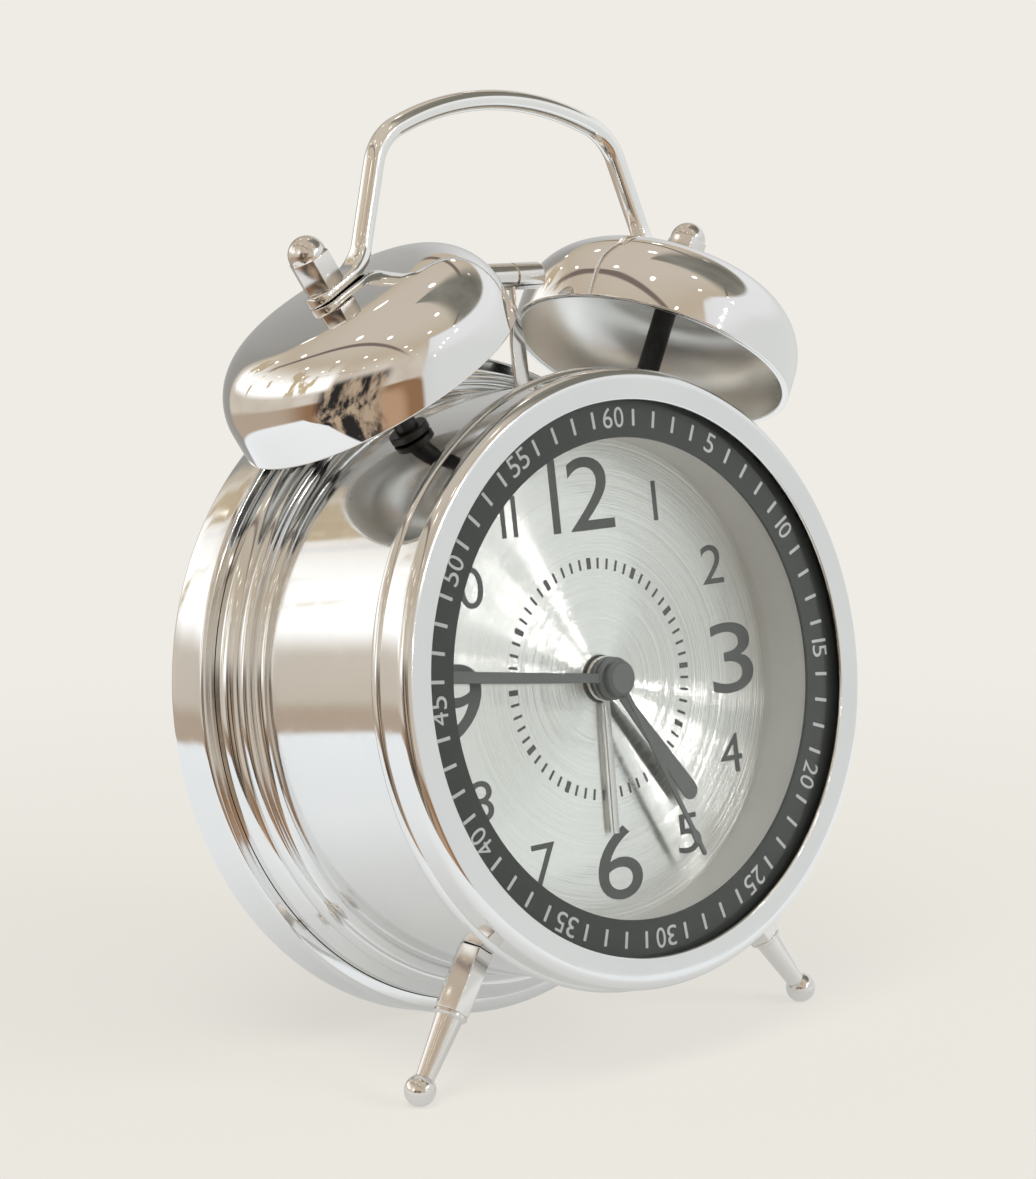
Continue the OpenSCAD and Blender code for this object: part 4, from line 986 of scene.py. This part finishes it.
def indirect(paint):
    """1 for rays that the camera, plate or glass sends out, 0 for those that light things."""
    rays = [
        paint.add("ShaderNodeLightPath", output="Is " + kind + " Ray")
        for kind in ("Camera", "Glossy", "Transmission")
    ]
    return (rays[0] + rays[1] + rays[2]).math("MINIMUM", rays[0] + rays[1] + rays[2], 1)


def stage_piece(name, shape, paint):
    """A part of the studio, which isn't part of the clock."""
    mesh = bpy.data.meshes.new(name)
    shape.to_mesh(mesh)
    shape.free()
    mesh.materials.append(paint.owner)
    made = bpy.data.objects.new(name, mesh)
    scene.collection.objects.link(made)
    return made


def floor():
    """A pale floor that keeps the clock's shadow.  In the plate it ends like a table's top, and it mirrors
    with painted shade near the clock.
    """
    shape = bmesh.new()
    bmesh.ops.create_grid(shape, x_segments=1, y_segments=1, size=6)
    paint = material("floor")
    where = paint.place()
    reach = paint.vector("LENGTH", where, output=1)
    front_edge = paint.vector("DOT_PRODUCT", where, (-0.53, -0.848, 0), output=1)
    glossy = paint.add("ShaderNodeLightPath", output="Is Glossy Ray")
    matt = paint.add("ShaderNodeBsdfDiffuse", {}, {"Color": colour4(PALE)})
    # painted shade in reflections: the floor as the plate mirrors it is darker near the clock, pale and
    # bluish further out
    mirrored_with_painted_shade = paint.mix(reach.step(0.02, 0.1), (0.66, 0.67, 0.66), (0.98, 1.02, 1.05))
    shown = paint.mix(glossy, PALE, mirrored_with_painted_shade)
    glow = paint.add("ShaderNodeEmission", {}, {"Color": shown, "Strength": 1.0})
    share = indirect(paint) * (reach.step(0.05, 0.4) * 0.28 + 0.72)
    both = paint.add("ShaderNodeMixShader", {}, {0: share, 1: matt, 2: glow})
    gone = paint.add("ShaderNodeBsdfTransparent")
    past = 1 - (1 - reach.step(0.24, 0.27)) * (1 - front_edge.step(0.115, 0.12))
    table = paint.add("ShaderNodeMixShader", {}, {0: past * glossy, 1: both, 2: gone})
    paint.add("ShaderNodeOutputMaterial", {}, {"Surface": table})
    stage_piece("floor", shape, paint)


def room():
    """What the plate mirrors, as painted reflection: a sphere that glows though it is no lamp and shows only
    in reflections, painted with a warm ceiling with lamps, dim shelves and a pale paper screen.
    """
    shape = bmesh.new()
    bmesh.ops.create_uvsphere(shape, u_segments=48, v_segments=24, radius=ROOM_R)
    paint = material("room")
    way = paint.vector("NORMALIZE", paint.vector("SUBTRACT", paint.place(), (0, 0, 0.08)))
    level = paint.vector("NORMALIZE", paint.vector("MULTIPLY", way, (1, 1, 0)))
    height = paint.vector("DOT_PRODUCT", way, (0, 0, 1), output=1)

    def towards(azimuth, near, far):
        """1 within so many degrees of an azimuth, which is counted from +Y towards +X."""
        a = math.radians(azimuth)
        facing = paint.vector("DOT_PRODUCT", level, (math.sin(a), math.cos(a), 0), output=1)
        return facing.step(math.cos(math.radians(far)), math.cos(math.radians(near)))

    def above(degrees, soft=2.0):
        """1 above so many degrees over the horizon."""
        low, high = math.radians(degrees - soft), math.radians(degrees + soft)
        return height.step(math.sin(low), math.sin(high))

    plane = paint.vector("DIVIDE", way, height.math("MAXIMUM", height, 0.1))
    lamps = paint.add(
        "ShaderNodeTexVoronoi", {"feature": "F1", "voronoi_dimensions": "2D"},
        {"Vector": plane, "Scale": 1.5, "Randomness": 0.45},
    )
    joints = paint.add("ShaderNodeTexWave", {"bands_direction": "X"}, {"Vector": plane, "Scale": 0.22})
    grain = paint.noise(way, 2.2, 3)
    posts = paint.noise(paint.stretched(way, (6, 6, 1.3)), 1.0, 4, 0.6)

    # Painted reflection from here on: glowing colours stand in for a lit room, and the lamp spots glow at
    # about four times white.
    ceiling = paint.mix(above(40, 22), (0.5, 0.4, 0.27), (0.62, 0.55, 0.46))
    ceiling = paint.mix(joints.step(0.985, 0.998), ceiling, (0.2, 0.16, 0.14))
    ceiling = paint.mix((1 - lamps.step(0.035, 0.075)) * above(14), ceiling, (4.0, 3.8, 3.5))
    dim = paint.mix(grain, (0.07, 0.07, 0.055), (0.4, 0.38, 0.33))
    # painted shade: a darker patch of the ceiling
    ceiling = paint.mix(towards(108, 25, 48), ceiling, dim)
    wall = paint.mix(grain, (0.5, 0.42, 0.33), (0.85, 0.8, 0.72))
    shelves = paint.mix(posts.step(0.42, 0.6), (0.03, 0.027, 0.027), (0.5, 0.38, 0.27))
    wall = paint.mix(towards(-122, 20, 34) * (1 - above(14, 5)), wall, shelves)
    # painted daylight: a window that glows brighter than white
    painted_daylight = paint.mix(posts.step(0.4, 0.46), (0.62, 0.5, 0.32), (1.35, 1.35, 1.33))
    wall = paint.mix(towards(-52, 44, 52) * above(7, 4), wall, painted_daylight)
    boards = paint.mix(towards(-30, 25, 60), (0.3, 0.17, 0.09), (0.5, 0.4, 0.31))
    boards = paint.mix(towards(-158, 3, 14) * (1 - above(-16, 6)), boards, (0.52, 0.33, 0.21))
    low = paint.mix(towards(-122, 20, 34), boards, shelves)
    far = paint.mix(above(-8, 2), low, paint.mix(above(27, 13), wall, ceiling))

    paper = towards(90, 87, 91) * (1 - above(34, 2))
    sheet = paint.mix(above(15, 7), (0.75, 0.77, 0.76), (0.86, 0.87, 0.88))
    # painted shade: the paper screen darker over one side
    sheet = paint.mix(towards(120, 40, 115), (0.34, 0.33, 0.31), sheet)
    shade = paint.mix(paper, far, sheet)
    glow = paint.add("ShaderNodeEmission", {}, {"Color": shade, "Strength": 1.0})
    paint.add("ShaderNodeOutputMaterial", {}, {"Surface": glow})
    made = stage_piece("room", shape, paint)
    # seen only in reflections, so its glow is painted reflection and lights nothing
    made.visible_camera = False
    made.visible_diffuse = False
    made.visible_shadow = False
    made.visible_transmission = False


def ceiling_spot(clock_angle, tilt=18, reach=1.3):
    """Where a lamp stands that shows in grooves leaning so many degrees towards a clock angle."""
    a, t = math.radians(clock_angle), math.radians(tilt)
    towards = ACROSS * math.sin(a) + ACROSS.cross(DEPTH) * math.cos(a)
    facet = towards * math.sin(t) - DEPTH * math.cos(t)
    view = (CAMERA_AT - CENTRE).normalized()
    return CENTRE + (facet * 2 * facet.dot(view) - view) * reach


def lamp(name, at, size, power, glossy=True):
    """A soft round lamp that looks at the clock."""
    light = bpy.data.lights.new(name, "AREA")
    light.shape = "ELLIPSE"
    light.size = light.size_y = size
    light.energy = power
    made = bpy.data.objects.new(name, light)
    made.location = at
    made.rotation_euler = (Vector((0, 0, 0.07)) - Vector(at)).to_track_quat("-Z", "Y").to_euler()
    made.visible_glossy = glossy
    scene.collection.objects.link(made)


def surroundings():
    """The even pale room, half as strong where it only lights."""
    world = bpy.data.worlds.new("room")
    scene.world = world
    paint = Paint(world)
    strength = indirect(paint) * 0.5 + 0.5
    sky = paint.add("ShaderNodeBackground", {}, {"Color": colour4(PALE), "Strength": strength})
    paint.add("ShaderNodeOutputWorld", {}, {"Surface": sky})


def camera():
    """Looks at the clock from the front left, a little above the dial's middle."""
    data = bpy.data.cameras.new("camera")
    data.sensor_fit = "VERTICAL"
    data.sensor_height = 36
    data.lens = 92.94
    data.clip_start = 0.01
    made = bpy.data.objects.new("camera", data)
    target = Vector((-0.0064, -0.0038, 0.0757))
    roll = math.radians(-0.34)
    aim = (target - CAMERA_AT).to_track_quat("-Z", "Y").to_matrix().to_4x4()
    made.matrix_world = Matrix.Translation(CAMERA_AT) @ aim @ Matrix.Rotation(roll, 4, "Z")
    scene.collection.objects.link(made)
    scene.camera = made


floor()
surroundings()
room()
lamp("key", (-0.5, -0.3, 1.0), 0.6, 4.5, glossy=False)
lamp("fill", (0.5, -1.0, 0.55), 0.6, 3.5, glossy=False)
for turn, power in ((-29, 0.7), (-45, 0.35), (-53, 0.35), (-61, 0.3), (-77, 0.22)):
    lamp("spot", ceiling_spot(turn), 0.03, power)
camera()
scene.view_settings.view_transform = "Standard"
